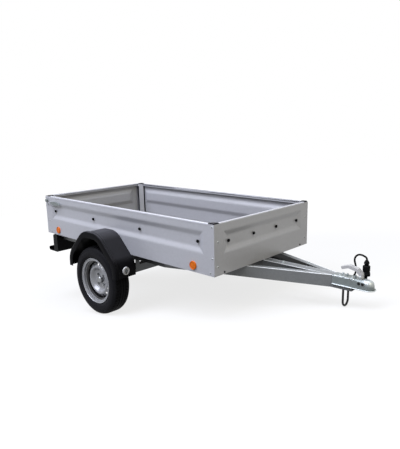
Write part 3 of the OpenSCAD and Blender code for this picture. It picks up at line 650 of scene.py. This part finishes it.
class Model:
    """Edit-mode calls on one mesh object."""

    def __init__(self, thing: Thing) -> None:
        """Keeps the object that the calls work on."""
        self.thing = thing

    @staticmethod
    def clear() -> None:
        """Leaves edit mode and deselects all."""
        if bpy.context.object and bpy.context.object.mode != "OBJECT":
            bpy.ops.object.mode_set(mode="OBJECT")
        bpy.ops.object.select_all(action="DESELECT")

    @classmethod
    def edit(cls, name: str) -> "Model":
        """Names the primitive just added and opens it in edit mode.

        Args:
            name: The new object's name.

        Returns:
            The model.
        """
        thing = bpy.context.object
        thing.name = name
        bpy.ops.object.mode_set(mode="EDIT")
        return cls(thing)

    @classmethod
    def outline(cls, name: str, points: Sequence[Pair]) -> "Model":
        """Starts a model from a closed outline in x and z, made of a circle's points.

        Args:
            name: The new object's name.
            points: The outline's corners, as x and z.

        Returns:
            The model, in edit mode with its outline selected.
        """
        cls.clear()
        bpy.ops.mesh.primitive_circle_add(vertices=len(points), radius=1.0, fill_type="NOTHING")
        for vertex, (x, z) in zip(bpy.context.object.data.vertices, points):
            vertex.co = (x, 0.0, z)
        model = cls.edit(name)
        bpy.ops.mesh.select_mode(type="VERT")
        bpy.ops.mesh.select_all(action="SELECT")
        return model

    @classmethod
    def bar(cls, name: str, points: Sequence[Pair], length: float) -> "Model":
        """Models a straight bar along y from the origin.

        Args:
            name: The new object's name.
            points: The corners of its section, as x and z.
            length: How long it is.

        Returns:
            The model, out of edit mode.
        """
        model = cls.outline(name, points)
        model.extrude(Vector((0.0, length, 0.0)))
        model.fill_ends()
        model.close()
        return model

    def select_faces(self, test: Callable[[Vector, Vector], bool]) -> None:
        """Selects the faces that pass a test.

        Args:
            test: Gets a face's centre and normal.
        """
        bpy.ops.mesh.select_mode(type="FACE")
        bpy.ops.mesh.select_all(action="DESELECT")
        for face in bmesh.from_edit_mesh(self.thing.data).faces:
            if test(face.calc_center_median(), face.normal):
                face.select_set(True)
        bmesh.update_edit_mesh(self.thing.data)

    def extrude(self, step: Vector) -> None:
        """Extrudes the selected outline by a step."""
        bpy.ops.mesh.extrude_region_move(TRANSFORM_OT_translate={"value": step})

    def fill_ends(self) -> None:
        """Fills a drawn section's ends. Those of a straight bar lie over each other and stay open."""
        bpy.ops.mesh.select_all(action="DESELECT")
        bpy.ops.mesh.select_mode(type="EDGE")
        bpy.ops.mesh.select_non_manifold()
        bpy.ops.mesh.fill()

    def halve(self, normal: Point) -> None:
        """Cuts off and closes what lies behind the origin."""
        bpy.ops.mesh.select_all(action="SELECT")
        bpy.ops.mesh.bisect(plane_co=(0, 0, 0), plane_no=normal, clear_inner=True, use_fill=True)

    def close(self) -> None:
        """Mends the mesh and leaves edit mode."""
        self.mend()
        bpy.ops.object.mode_set(mode="OBJECT")

    def mend(self, merge: float = 0.00001) -> None:
        """Merges doubles and turns the faces outwards.

        Args:
            merge: How near each other doubles lie.
        """
        bpy.ops.mesh.select_all(action="SELECT")
        bpy.ops.mesh.remove_doubles(threshold=merge)
        bpy.ops.mesh.normals_make_consistent(inside=False)

    def settle(self, move: Matrix, smooth: float = 35.0) -> Thing:
        """Puts the object's place into its mesh.

        Args:
            move: The move from the modelled place to the level one on the trailer.
            smooth: The edge angle, in degrees, up to which faces are smooth.

        Returns:
            The finished object, parked and at the origin.
        """
        self.clear()
        self.thing.matrix_world = STANCE.matrix @ move
        self.thing.select_set(True)
        bpy.context.view_layer.objects.active = self.thing
        bpy.ops.object.transform_apply(location=True, rotation=True, scale=True)
        bpy.ops.object.shade_smooth_by_angle(angle=math.radians(smooth))
        return self.thing


def new_thing(name: str, data: bpy.types.ID) -> Thing:
    """Makes an object of some data.

    Args:
        name: The object's name.
        data: Its mesh, curve, lamp or camera data.

    Returns:
        The object, in the scene.
    """
    thing = bpy.data.objects.new(name, data)
    bpy.context.scene.collection.objects.link(thing)
    return thing


def dress(piece: Thing, finish: Finish, body: str = "chassis") -> None:
    """Gives a new piece its finish and the body that it rides on.

    Args:
        piece: The new piece.
        finish: Its finish.
        body: The body's name.
    """
    piece.data.materials.clear()
    piece.data.materials.append(finish.material())
    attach(piece, body)
    finish.slot
    LOG.info("made %s", piece.name)


@dataclass(frozen=True)
class PhotoCamera:
    """The photo's camera, placed from the box's lower rear edge with the drawbar level."""

    azimuth: float = 43.621
    elevation: float = 12.061
    roll: float = -1.211
    focal_px: float = 471.343
    place: Point = (4.021, -2.712, 0.968)
    image_px: tuple[int, int] = (400, 449)
    sensor: float = 36.0

    def make(self) -> None:
        """Makes the camera and turns it with the parked trailer."""
        edge = span("side_panel_right").low
        a, e, r = (math.radians(v) for v in (self.azimuth, self.elevation, self.roll))
        back = Vector((math.sin(a) * math.cos(e), -math.cos(a) * math.cos(e), math.sin(e)))
        right = Vector((math.cos(a), math.sin(a), 0.0))
        up = back.cross(right)
        across = right * math.cos(r) + up * math.sin(r)
        upward = up * math.cos(r) - right * math.sin(r)
        level = Matrix((across, upward, back)).transposed().to_4x4()
        level.translation = Vector(self.place) + Vector((edge.x, 0.0, edge.z))
        data = bpy.data.cameras.new("camera")
        data.sensor_width = self.sensor
        data.lens = self.focal_px * self.sensor / max(self.image_px)
        camera = new_thing("camera", data)
        camera.matrix_world = STANCE.matrix @ level
        bpy.context.scene.camera = camera


@dataclass(frozen=True)
class PlugCable:
    """The lead from its grommet on the left leg up to the parked plug."""

    radius: float = 0.006
    route_mm: tuple[Point, ...] = (
        (1635, 54.5, 458), (1639, 66, 458), (1648, 78, 458), (1663, 85, 458), (1682, 86, 459),
        (1702, 83, 461), (1722, 78, 465), (1742, 72, 473), (1760, 66, 487), (1773, 61, 505),
        (1780, 57, 526), (1781, 55, 548), (1777, 54, 570), (1771, 54, 591), (1771, 54, 610),
        (1779, 54, 626), (1793, 54, 637), (1811, 54, 640), (1829, 54, 636), (1845, 54, 628),
        (1850, 54, 619), (1850, 54, 611),
    )

    def make(self) -> None:
        """Draws the lead as one smooth round curve."""
        points = [STANCE.place(Vector(p) * MM) for p in self.route_mm]
        data = bpy.data.curves.new("cable", "CURVE")
        data.dimensions = "3D"
        data.bevel_depth = self.radius
        data.bevel_resolution = 5
        data.resolution_u = 8
        data.use_fill_caps = True
        spline = data.splines.new("BEZIER")
        spline.bezier_points.add(len(points) - 1)
        for knot, point in zip(spline.bezier_points, points):
            knot.co = point
            knot.handle_left_type = knot.handle_right_type = "AUTO"
        cable = new_thing("cable", data)
        dress(cable, RUBBER)
        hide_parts("plug_cable")
        tuple(points[0])


@dataclass
class Tyre:
    """A road tyre with ribs, shoulder grooves and ringed side walls.

    A corner of its section is a distance across and a height. Seat and bead count across from the middle,
    the rest in from the widest place. Shoulder and liner count down from the tread, the rest up from the
    rim's flange.
    """

    side: Side
    steps: int = 300
    seat: Pairs = ((0.059, -0.0162), (0.060, -0.002), (0.064, 0.003), (0.069, 0.007))
    wall: Pairs = (
        (0.0035, 0.022), (0.0022, 0.0225), (0.0022, 0.025), (0.0014, 0.0255), (0.0, 0.040), (0.001, 0.055),
    )
    shoulder: Pairs = (
        (0.0035, 0.029), (0.0028, 0.0285), (0.0028, 0.0265), (0.0045, 0.026), (0.009, 0.0165),
        (0.016, 0.0085), (0.024, 0.0042), (0.036, 0.0008),
    )
    bead: Pair = (0.048, -0.0162)
    inner_wall: Pair = (0.013, 0.035)
    liner: Pairs = ((0.016, 0.033), (0.040, 0.011))
    grooves: tuple[float, ...] = (0.0, 0.024)
    groove_half: float = 0.0032
    groove_depth: float = 0.0055
    groove_lip: Pair = (0.001, 0.0003)
    cut_pitch: int = 5
    cut_step: float = 0.047
    cut_end: float = 0.064
    cut_reach: float = 0.012
    cut_depth: float = 0.0045
    cut_border: float = 0.0004
    cut_margin: float = 0.002
    cut_facing: float = 0.3
    cut_stagger: int = 2
    merge: float = 0.00002

    def section(self, radius: float, half_width: float) -> list[Pair]:
        """Draws the tyre's section.

        Args:
            radius: The tread's radius.
            half_width: From the middle plane to the widest place.

        Returns:
            A closed outline, as height above the axle and distance across.
        """
        flange = span("rim_" + self.side.label).size.z / 2
        (bead, bead_up), (wall, wall_up) = self.bead, self.inner_wall
        half = [(flange + h, a) for a, h in self.seat]
        half += [(flange + h, half_width - a) for a, h in self.wall]
        half += [(radius - h, half_width - a) for a, h in self.shoulder]
        lip, drop = self.groove_lip
        deep = radius - self.groove_depth
        for at in reversed(self.grooves):
            near, far = at - self.groove_half, at + self.groove_half
            corners = ((radius - drop, far + lip), (deep, far), (deep, near), (radius, near - lip))
            half += [(h, a) for h, a in corners if a > 0.0]
        inner = [(flange + bead_up, bead), (flange + wall_up, half_width - wall)]
        inner += [(radius - h, half_width - a) for a, h in self.liner]
        return half + [(h, -a) for h, a in half[::-1]] + [(h, -a) for h, a in inner] + inner[::-1]

    def cut(self, radius: float, centre: Vector, normal: Vector) -> bool:
        """Tests for a face of a groove across the shoulder.

        Args:
            radius: The tread's radius.
            centre: The face's middle, with the wheel's axis along z.
            normal: The way that the face points.

        Returns:
            Whether the groove takes the face.
        """
        flat, across = centre.to_2d(), abs(centre.z)
        turn = math.atan2(centre.y, centre.x) % math.tau
        shift = (across > self.cut_step) + (0 if centre.z > 0 else self.cut_stagger)
        inside = self.grooves[-1] + self.groove_half + self.cut_margin < across < self.cut_end
        outward = normal.to_2d().dot(flat) > self.cut_facing * flat.length
        inside = inside and outward and flat.length > radius - self.cut_reach
        return inside and int(turn / math.tau * self.steps + shift) % self.cut_pitch == 0

    def make(self) -> None:
        """Spins the section round the axle and sinks the grooves across the shoulders."""
        label = self.side.label
        solid = span("tyre_" + label)
        radius = solid.size.z / 2
        model = Model.outline("tread_tyre_" + label, self.section(radius, solid.size.y / 2))
        bpy.ops.mesh.spin(steps=self.steps, angle=math.tau, center=(0, 0, 0), axis=(0, 0, 1))
        model.mend(self.merge)
        model.select_faces(lambda centre, normal: self.cut(radius, centre, normal))
        bpy.ops.mesh.inset(thickness=self.cut_border, depth=-self.cut_depth, use_even_offset=False)
        model.close()
        turn = Matrix.Rotation(math.radians(-90.0 * self.side.value), 4, "X")
        tyre = model.settle(Matrix.Translation(solid.middle) @ turn)
        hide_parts("tyre_" + label)
        dress(tyre, TYRE_RUBBER, "wheel_" + label)


@dataclass
class Mudguard:
    """A moulded guard: one section drawn over a path of straights and bends, in place of its solid."""

    side: Side
    bend: float = 0.160
    bend_steps: int = 24
    border: float = 0.006
    flat: float = 0.100
    bend_drop: float = 0.045
    section_mm: Pairs = (
        (0, -60), (0, 0), (147, 0), (150.5, 0.6), (152.8, 2.4), (154.8, 4.6), (157.5, 5.8), (160.5, 6.0),
        (163.5, 5.6), (166, 4.0), (168, 2.0), (170.5, 1.2), (173, 2.0), (175, 4.0), (177.2, 5.6), (180, 6.0),
        (183, 5.4), (185.6, 3.4), (187.3, 0.2), (188, -5), (188, -40), (187.4, -42.6), (186, -44),
        (184.6, -42.6), (184, -40), (184, -9), (182.6, -4.6), (179, -2.2), (172, -3.4), (150, -4), (4, -4),
        (4, -60),
    )

    def path(self, solid: Span) -> list[Vector]:
        """Finds the corners of the guard's outer face.

        Args:
            solid: The span of the guard's solid.

        Returns:
            Their level x and z, from the guard's rear end to its front end.
        """
        bed = span("side_panel_right").low.z
        half = solid.high.x - self.border
        top = solid.high.z - self.border
        foot, bend = Vector((-half, solid.low.z)), Vector((-half, bed - self.bend_drop))
        rise = [foot, bend, Vector((-self.flat, top))]
        return rise + [Vector((-p.x, p.y)) for p in reversed(rise)]

    def make(self) -> None:
        """Draws the section along the path, with extrusions on the straights and spins at the bends."""
        solid = span("mudguard_" + self.side.label)
        wall = solid.high.y if self.side is Side.RIGHT else -solid.low.y
        path = self.path(solid)
        model = Model.outline("guard_" + self.side.label, [(n * MM, u * MM) for u, n in self.section_mm])
        for vertex in bmesh.from_edit_mesh(model.thing.data).verts:
            n, u = vertex.co.x, vertex.co.z
            vertex.co = (path[0].x - n, wall - u, path[0].y)
        bmesh.update_edit_mesh(model.thing.data)
        at = path[0]
        for before, corner, after in zip(path, path[1:], path[2:]):
            into, out = (corner - before).normalized(), (after - corner).normalized()
            turn = into.angle(out)
            reach = self.bend * math.tan(turn / 2)
            step = corner - into * reach - at
            model.extrude(Vector((step.x, 0.0, step.y)))
            hub = corner - into * reach + Vector((into.y, -into.x)) * self.bend
            bpy.ops.mesh.spin(steps=self.bend_steps, angle=-turn, center=(hub.x, 0, hub.y), axis=(0, 1, 0))
            at = corner + out * reach
        model.extrude(Vector((path[-1].x - at.x, 0.0, path[-1].y - at.y)))
        model.fill_ends()
        model.close()
        if self.side is Side.LEFT:
            model.thing.data.transform(Matrix.Scale(-1.0, 4, self.side.out))
            model.thing.data.flip_normals()
        guard = model.settle(Matrix(), smooth=50.0)
        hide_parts("mudguard_" + self.side.label)
        dress(guard, PLASTIC)


class Head(Enum):
    """Kinds of fastener that show on the trailer."""

    RIVET = "rivet"
    ROUND = "round_bolt"
    HEX = "hex_bolt"
    DISC = "disc"


DOME_HEIGHT = {Head.RIVET: 0.38, Head.ROUND: 0.55}


@dataclass(frozen=True)
class Fastener:
    """One fastener: its foot with the drawbar level, and the way that its head points."""

    at: Point
    facing: Point


@dataclass
class FastenerSet:
    """Like fasteners of one finish, made once and copied to every place. Shares are of the radius."""

    name: str
    head: Head
    finish: Finish
    radius: float
    places: Sequence[Fastener]
    lift: float = 0.0072
    disc: float = 0.001
    washer: float = 0.002
    washer_share: float = 1.55
    hex_share: float = 1.2
    chamfer_share: Pair = (0.12, 0.1)
    top_facing: float = 0.9

    def template(self) -> Thing:
        """Models one head that stands on the origin along z.

        Returns:
            The head.
        """
        Model.clear()
        r = self.radius
        if self.head is Head.DISC:
            middle = (0, 0, self.lift)
            bpy.ops.mesh.primitive_cylinder_add(vertices=40, radius=r, depth=self.disc, location=middle)
            model = Model.edit(self.name)
        elif self.head is Head.HEX:
            depth = self.hex_share * r
            middle = (0, 0, depth / 2 + self.washer)
            bpy.ops.mesh.primitive_cylinder_add(vertices=6, radius=r, depth=depth, location=middle)
            model = Model.edit(self.name)
            model.select_faces(lambda centre, normal: normal.z > self.top_facing)
            inward, upward = self.chamfer_share
            bpy.ops.mesh.inset(thickness=inward * r, depth=upward * r)
            bpy.ops.mesh.select_mode(type="VERT")
            bpy.ops.mesh.select_all(action="DESELECT")
            bpy.ops.mesh.primitive_cylinder_add(vertices=20, radius=self.washer_share * r, depth=self.washer,
                                                location=(0, 0, self.washer / 2))
        else:
            bpy.ops.mesh.primitive_uv_sphere_add(segments=18, ring_count=10, radius=r)
            model = Model.edit(self.name)
            model.halve(UP)
            bpy.ops.mesh.select_all(action="SELECT")
            bpy.ops.transform.resize(value=(1, 1, DOME_HEIGHT[self.head]), center_override=(0, 0, 0))
        model.close()
        model.thing.data.transform(Matrix.Translation(model.thing.location))
        return model.thing

    def make(self) -> None:
        """Copies the head to every place and joins the copies."""
        head = self.template()
        copies = []
        for fastener in self.places:
            copy = new_thing(self.name, head.data.copy())
            turn = Vector(fastener.facing).to_track_quat("Z", "Y").to_matrix().to_4x4()
            copy.data.transform(Matrix.Translation(fastener.at) @ turn)
            copies.append(copy)
        bpy.data.objects.remove(head)
        Model.clear()
        for copy in copies:
            copy.select_set(True)
        bpy.context.view_layer.objects.active = copies[0]
        bpy.ops.object.join()
        joined = bpy.context.object
        joined.name = self.name
        dress(Model(joined).settle(Matrix(), smooth=40.0), self.finish)


@dataclass
class BoxFasteners:
    """Rivets and bolts that hold the walls to their posts and to the drawbar.

    Insets are from a wall's rear and front end, heights from its lower edge.
    """

    rivet: float = 0.0070
    hole_shade_share: float = 0.5
    core_lift_share: float = 0.36
    rivet_rows: tuple[tuple[Pair, float], ...] = (
        ((0.052, 0.015), 0.326), ((0.052, 0.015), 0.120), ((0.070, 0.034), 0.019),
    )
    front_inset: float = 0.035
    front_heights: Pair = (0.226, 0.060)
    bolt: float = 0.0075
    bolt_across: float = 0.460
    bolt_height: float = 0.014

    def make(self) -> None:
        """Places the rivets of each wall's ends in a paler zinc that paints a highlight on them, with dark
        discs painted as the shade in their holes, and the front wall's lower bolts.
        """
        rivets, bolts = [], []
        front = span("front_panel")
        for side in Side:
            panel = span("side_panel_" + side.label)
            y = panel.low.y if side is Side.RIGHT else panel.high.y
            z = panel.low.z
            for (rear, fore), up in self.rivet_rows:
                ends = (panel.low.x + rear, panel.high.x - fore)
                rivets += [Fastener((x, y, z + up), side.out) for x in ends]
            end = side.value * (front.high.y - self.front_inset)
            rivets += [Fastener((front.high.x, end, z + up), FORWARD) for up in self.front_heights]
            foot = (front.high.x, side.value * self.bolt_across, z + self.bolt_height)
            bolts.append(Fastener(foot, FORWARD))
        # Painted shade: a dark disc in each rivet's mandrel hole.
        hole_shade, lift = self.hole_shade_share * self.rivet, self.core_lift_share * self.rivet
        FastenerSet("wall_rivets", Head.RIVET, HIGHLIGHT_ZINC, self.rivet, rivets).make()
        FastenerSet("rivet_cores", Head.DISC, DARK_STEEL, hole_shade, rivets, lift=lift).make()
        FastenerSet("wall_bolts", Head.ROUND, DARK_STEEL, self.bolt, bolts).make()


@dataclass
class GuardReflectors:
    """Patterned faces inside the bezels of the mudguards' reflectors, each with a screw on a dark washer.

    Shares are of the bezel's radius.
    """

    face_share: float = 0.80
    washer_share: float = 0.40
    washer_lift: float = 0.0080
    screw_share: float = 0.20
    screw_lift: float = 0.0082

    def make(self) -> None:
        """Places a face, a washer and a screw in each bezel."""
        solid = span("front_reflectors")
        r, x = solid.size.z / 2, solid.low.x
        ends = [(side.value * (solid.high.y - r), solid.middle.z) for side in Side]
        feet = [Fastener((x, *end), FORWARD) for end in ends]
        tops = [Fastener((x + self.screw_lift, *end), FORWARD) for end in ends]
        washer = self.washer_share * r
        FastenerSet("reflector_faces", Head.DISC, PATTERN, self.face_share * r, feet).make()
        FastenerSet("reflector_washers", Head.DISC, PLASTIC, washer, feet, lift=self.washer_lift).make()
        FastenerSet("reflector_screws", Head.ROUND, ZINC, self.screw_share * r, tops).make()


@dataclass
class RailTrim:
    """The rolled edge on top of one wall, from its start along the wall, and inwards by its width."""

    name: str
    start: Point
    inward: Point
    length: float
    width: float = 0.024
    body: str = "chassis"
    section: Pairs = (
        (-0.04, -10), (-0.04, -3), (0.01, 0.6), (0.12, 3.0), (0.28, 4.0), (0.72, 4.0), (0.88, 3.0),
        (0.99, 0.6), (1.04, -3), (1.04, -10),
    )

    def make(self) -> None:
        """Draws the section along the wall."""
        inward, up = Vector(self.inward), Vector(UP)
        model = Model.bar(self.name, [(u * self.width, n * MM) for u, n in self.section], self.length)
        place = Matrix((inward, up.cross(inward), up)).transposed().to_4x4()
        place.translation = self.start
        dress(model.settle(place), PANEL, self.body)


@dataclass
class PostTrim:
    """Two flutes on a corner post's slanted face, and dark strips painted as the shade in the gaps between
    the post and the walls.

    Outlines are in millimetres from the post's outer corner, along the side wall and inwards.
    """

    side: Side
    front: bool
    flat: float = 16.0
    gap: Pair = (-0.5, 1.0)
    gap_margin: float = 1.0
    top_gap: float = 0.022
    flutes: Pairs = (
        (0.03, -1), (0.03, 0.4), (0.09, 2.4), (0.40, 2.4), (0.46, 0.3), (0.54, 0.3), (0.60, 2.4),
        (0.91, 2.4), (0.97, 0.4), (0.97, -1),
    )

    def make(self) -> None:
        """Draws the flutes and both painted shade strips up the post."""
        a, b = Vector((POST_MM, self.flat)), Vector((self.flat, POST_MM))
        out = Vector((1.0, 1.0)).normalized()
        self.draw("flutes", [a.lerp(b, s) + out * h for s, h in self.flutes], PANEL)
        # Painted shade: dark strips on the post's flats, where the gaps to the walls lie in shade.
        back, fore = (POST_MM + g for g in self.gap)
        near, far = self.gap_margin, self.flat - self.gap_margin
        along = ((back, near), (fore, near), (fore, far), (back, far))
        self.draw("shade_strip_side", along, PLASTIC)
        self.draw("shade_strip_end", [(v, u) for u, v in along], PLASTIC)

    def draw(self, name: str, points: Sequence[Sequence[float]], finish: Finish) -> None:
        """Draws an outline up the post.

        Args:
            name: What the piece is.
            points: The outline.
            finish: The finish of the piece.
        """
        post = span("corner_posts")
        floor = span("floor_board").high.z
        x, way = (post.high.x, -1) if self.front else (post.low.x, 1)
        s = self.side.value
        flat = [(x + way * u * MM, -s * (post.high.y - v * MM)) for u, v in points]
        end = "front" if self.front else "rear"
        height = post.high.z - self.top_gap - floor
        model = Model.bar(f"post_{name}_{end}_{self.side.label}", flat, height)
        stand = Matrix.Translation((0.0, 0.0, floor)) @ Matrix.Rotation(math.radians(90.0), 4, "X")
        dress(model.settle(stand, smooth=20.0), finish)


@dataclass
class BoxTrim:
    """The trim on the tops of the four walls and on the four posts."""

    gate_width: float = 0.028

    def make(self) -> None:
        """Trims the walls and then the posts."""
        post, gate = span("corner_posts"), span("tailgate_panel")
        wall, front = span("side_panel_left"), span("front_panel")
        inset, top = POST_MM * MM, wall.high.z
        run = post.high.x - post.low.x - 2 * inset
        end = post.high.y - inset
        RailTrim("rail_trim_right", (post.high.x - inset, -wall.high.y, top), Side.LEFT.out, run).make()
        RailTrim("rail_trim_left", (post.low.x + inset, wall.high.y, top), Side.RIGHT.out, run).make()
        RailTrim("rail_trim_front", (front.high.x, end, top), (-1.0, 0.0, 0.0), 2 * end).make()
        RailTrim("rail_trim_gate", (gate.low.x, gate.low.y, top), FORWARD, gate.high.y - gate.low.y,
                 self.gate_width, "tailgate").make()
        for side in Side:
            for at_front in (False, True):
                PostTrim(side, at_front).make()


@dataclass
class EdgeBead:
    """A straight round bead along a folded edge, between two level points."""

    name: str
    start: Point
    end: Point
    radius: float
    finish: Finish
    sides: int = 12

    def make(self) -> None:
        """Draws a ring from one point to the other."""
        run = Vector(self.end) - Vector(self.start)
        turns = [math.tau * i / self.sides for i in range(self.sides)]
        ring = [(self.radius * math.cos(turn), self.radius * math.sin(turn)) for turn in turns]
        model = Model.bar(self.name, ring, run.length)
        place = run.to_track_quat("Y", "Z").to_matrix().to_4x4()
        place.translation = self.start
        dress(model.settle(place), self.finish)


@dataclass
class CornerSeam:
    """The rounded fold where a side wall meets the front wall."""

    side: Side
    radius: float = 0.0022

    def make(self) -> None:
        """Stands a thin round bead on the corner."""
        front = span("front_panel")
        Model.clear()
        bpy.ops.mesh.primitive_cylinder_add(vertices=16, radius=self.radius, depth=front.size.z)
        model = Model.edit("corner_seam_" + self.side.label)
        model.close()
        place = (front.high.x, self.side.value * front.high.y, front.middle.z)
        dress(model.settle(Matrix.Translation(place)), PANEL)


@dataclass
class DrawbarEdges:
    """Folded edges of the drawbar's members and of the coupling, as round beads that catch the light, in
    paler finishes that paint a highlight on them.
    """

    leg: tuple[Pair, Pair] = ((1.124, 0.2211), (1.660, 0.0324))
    leg_radius: float = 0.0035
    beam: tuple[Pair, Pair] = ((1.124, 0.030), (1.655, 0.030))
    beam_radius: float = 0.0030
    sink: float = 0.0025
    fold: tuple[Point, ...] = ((1.669, 0.031, 0.496), (1.800, 0.031, 0.496), (1.884, 0.024, 0.4873))
    fold_radius: float = 0.0074
    lip: Point = (1.669, 0.0443, 0.4446)
    lip_radius: float = 0.0030
    lip_inset: float = 0.0011

    def make(self) -> None:
        """Places the beads of both sides and the one round the coupling's nose."""
        top = span("centre_beam").high.z - self.sink
        start, out, height = self.lip
        ball = span("coupling_head").high.x - out - self.lip_inset
        members = (("leg", self.leg, self.leg_radius), ("beam", self.beam, self.beam_radius))
        # The beads' paler finishes paint a highlight on the folds.
        for side in Side:
            s, label = side.value, side.label
            for name, ends, radius in members:
                a, b = ((x, s * y, top) for x, y in ends)
                EdgeBead(f"{name}_edge_{label}", a, b, radius, EDGE).make()
            points = [(x, s * y, z) for x, y, z in self.fold]
            for i, (a, b) in enumerate(zip(points, points[1:])):
                EdgeBead(f"fold_edge_{label}_{i}", a, b, self.fold_radius, HIGHLIGHT_ZINC).make()
            a, b = ((x, s * out, height) for x in (start, ball))
            EdgeBead("lip_edge_" + label, a, b, self.lip_radius, HIGHLIGHT_ZINC).make()
        self.nose(ball)

    def nose(self, ball: float) -> None:
        """Bends the lip's bead round the nose.

        Args:
            ball: The x of the ball's centre.
        """
        Model.clear()
        bpy.ops.mesh.primitive_torus_add(
            major_radius=self.lip[1], minor_radius=self.lip_radius, major_segments=48, minor_segments=12)
        model = Model.edit("lip_edge_nose")
        model.halve(FORWARD)
        model.close()
        dress(model.settle(Matrix.Translation((ball, 0.0, self.lip[2]))), HIGHLIGHT_ZINC)


@dataclass
class DrawbarFasteners:
    """Bolts of the coupling, its hand lever and the drawbar's members."""

    bolt: float = 0.0058
    top_rows: tuple[float, ...] = (0.046, 0.075, 0.130)
    top_across: Pair = (-0.023, 0.023)
    side_rows: tuple[float, ...] = (0.178, 0.203)
    side_drop: float = 0.022
    cheek: float = 0.006
    pivot: float = 0.0085
    pivot_back: float = 0.011
    pivot_rise: float = 0.014
    member_bolt: float = 0.0075
    members: Pairs = ((1.271, 0.0), (1.422, 0.092))

    def make(self) -> None:
        """Places the bolts from the coupling's and the drawbar's solids."""
        head, lever = span("coupling_head"), span("coupling_lever")
        beam = span("centre_beam").high
        rear, top = head.low.x, head.high.z
        wall, pivot = -(beam.y + self.cheek), lever.high.x - self.pivot_back
        bolts = [Fastener((rear + x, y, top), UP) for x in self.top_rows for y in self.top_across]
        cross = [Fastener((rear + x, wall, top - self.side_drop), Side.RIGHT.out) for x in self.side_rows]
        rise = top + self.pivot_rise
        pivots = [Fastener((pivot, side.value * lever.high.y, rise), side.out) for side in Side]
        members = [Fastener((x, y, beam.z), UP) for x, y in self.members]
        # The heads in the paler zinc carry a painted highlight.
        FastenerSet("coupling_bolts", Head.HEX, HIGHLIGHT_ZINC, self.bolt, bolts).make()
        FastenerSet("coupling_cross_bolts", Head.HEX, DARK_STEEL, self.bolt, cross).make()
        FastenerSet("lever_pivots", Head.ROUND, HIGHLIGHT_ZINC, self.pivot, pivots).make()
        FastenerSet("member_bolts", Head.HEX, HIGHLIGHT_ZINC, self.member_bolt, members).make()


@dataclass
class Studio:
    """Pale floor, white surround and soft lamps."""

    floor_half: float = 60.0
    floor_colour: Colour = (0.13, 0.13, 0.13)
    glow: Pair = (0.78, 1.0)
    fade: Pair = (1.6, 6.0)
    ambient: float = 0.20
    soft_lamps: tuple[tuple[str, Point, float, float, Colour], ...] = (
        ("key", (-0.6, -3.6, 6.4), 6.0, 760.0, (0.92, 0.95, 1.10)),
        ("top", (0.2, 0.2, 6.8), 6.0, 270.0, (0.93, 0.98, 1.12)),
        ("fill", (5.0, -1.6, 5.2), 4.0, 190.0, (1.02, 1.0, 0.95)),
        ("front", (5.6, -0.6, 1.7), 3.0, 30.0, (1.22, 1.04, 0.55)),
    )

    def make(self) -> None:
        """Makes the floor, the surround and the lamps, and sets the view transform."""
        bpy.context.scene.view_settings.view_transform = "Standard"
        self.floor()
        self.surround()
        for name, place, size, power, colour in self.soft_lamps:
            data = bpy.data.lights.new(name, "AREA")
            data.color = colour
            data.size = size
            data.energy = power
            lamp = new_thing(name, data)
            lamp.location = place
            lamp.rotation_euler = (-Vector(place)).to_track_quat("-Z", "Y").to_euler()

    @staticmethod
    def seen(graph: Graph) -> Socket:
        """Tells what is seen from what only lights.

        Args:
            graph: The floor's or the surround's graph.

        Returns:
            One for rays from the camera, a mirror or clear plastic, and nought for soft light.
        """
        path = graph.add("ShaderNodeLightPath").outputs
        mirrored = graph.math("MAXIMUM", path["Is Glossy Ray"], path["Is Transmission Ray"])
        return graph.math("MAXIMUM", path["Is Camera Ray"], mirrored)

    def floor(self) -> None:
        """Makes the floor, which glows where it is seen so that it fades into the surround."""
        Model.clear()
        bpy.ops.mesh.primitive_plane_add(size=2 * self.floor_half)
        floor = bpy.context.object
        floor.name = "floor"
        made = bpy.data.materials.new("pale_floor")
        graph = Graph.of(made)
        matt = graph.add("ShaderNodeBsdfDiffuse", {"Color": (*self.floor_colour, 1.0)})
        away = graph.distance(graph.place, (0.0, 0.0, 0.0))
        glow = graph.scale(graph.window(away, *self.fade), *self.glow)
        strength = graph.math("MULTIPLY", self.seen(graph), glow)
        light = graph.add("ShaderNodeEmission", {"Strength": strength})
        both = graph.add("ShaderNodeAddShader", {0: matt.outputs[0], 1: light.outputs[0]})
        graph.add("ShaderNodeOutputMaterial", {"Surface": both.outputs[0]})
        floor.data.materials.append(made)

    def surround(self) -> None:
        """Makes the surround white where it is seen and grey as soft light."""
        world = bpy.data.worlds.new("surround")
        graph = Graph.of(world)
        rise = graph.math("MULTIPLY", self.seen(graph), 1.0 - self.ambient)
        strength = graph.math("ADD", rise, self.ambient)
        back = graph.add("ShaderNodeBackground", {"Color": (1, 1, 1, 1), "Strength": strength})
        graph.add("ShaderNodeOutputWorld", {"Surface": back.outputs[0]})
        bpy.context.scene.world = world


def dress_solids() -> None:
    """Gives every CAD node the material of its slot, or its own."""
    for part in frame["record"]["subparts"]:
        solid = frame["nodes"][part["node"]]
        solid.data.materials.clear()
        finish = FINISH_OF_NODE.get(part["node"], FINISH_OF_SLOT[part["material_slot"]])
        solid.data.materials.append(finish.material())


def main() -> None:
    """Builds the camera, the cable, the finishes and the pieces in order."""
    logging.basicConfig(level=logging.INFO, format="%(name)s: %(message)s")
    PhotoCamera().make()
    PlugCable().make()
    dress_solids()
    for side in Side:
        Tyre(side).make()
        Mudguard(side).make()
        CornerSeam(side).make()
    GuardReflectors().make()
    BoxTrim().make()
    BoxFasteners().make()
    DrawbarFasteners().make()
    DrawbarEdges().make()
    Studio().make()


if __name__ == "__main__":
    main()
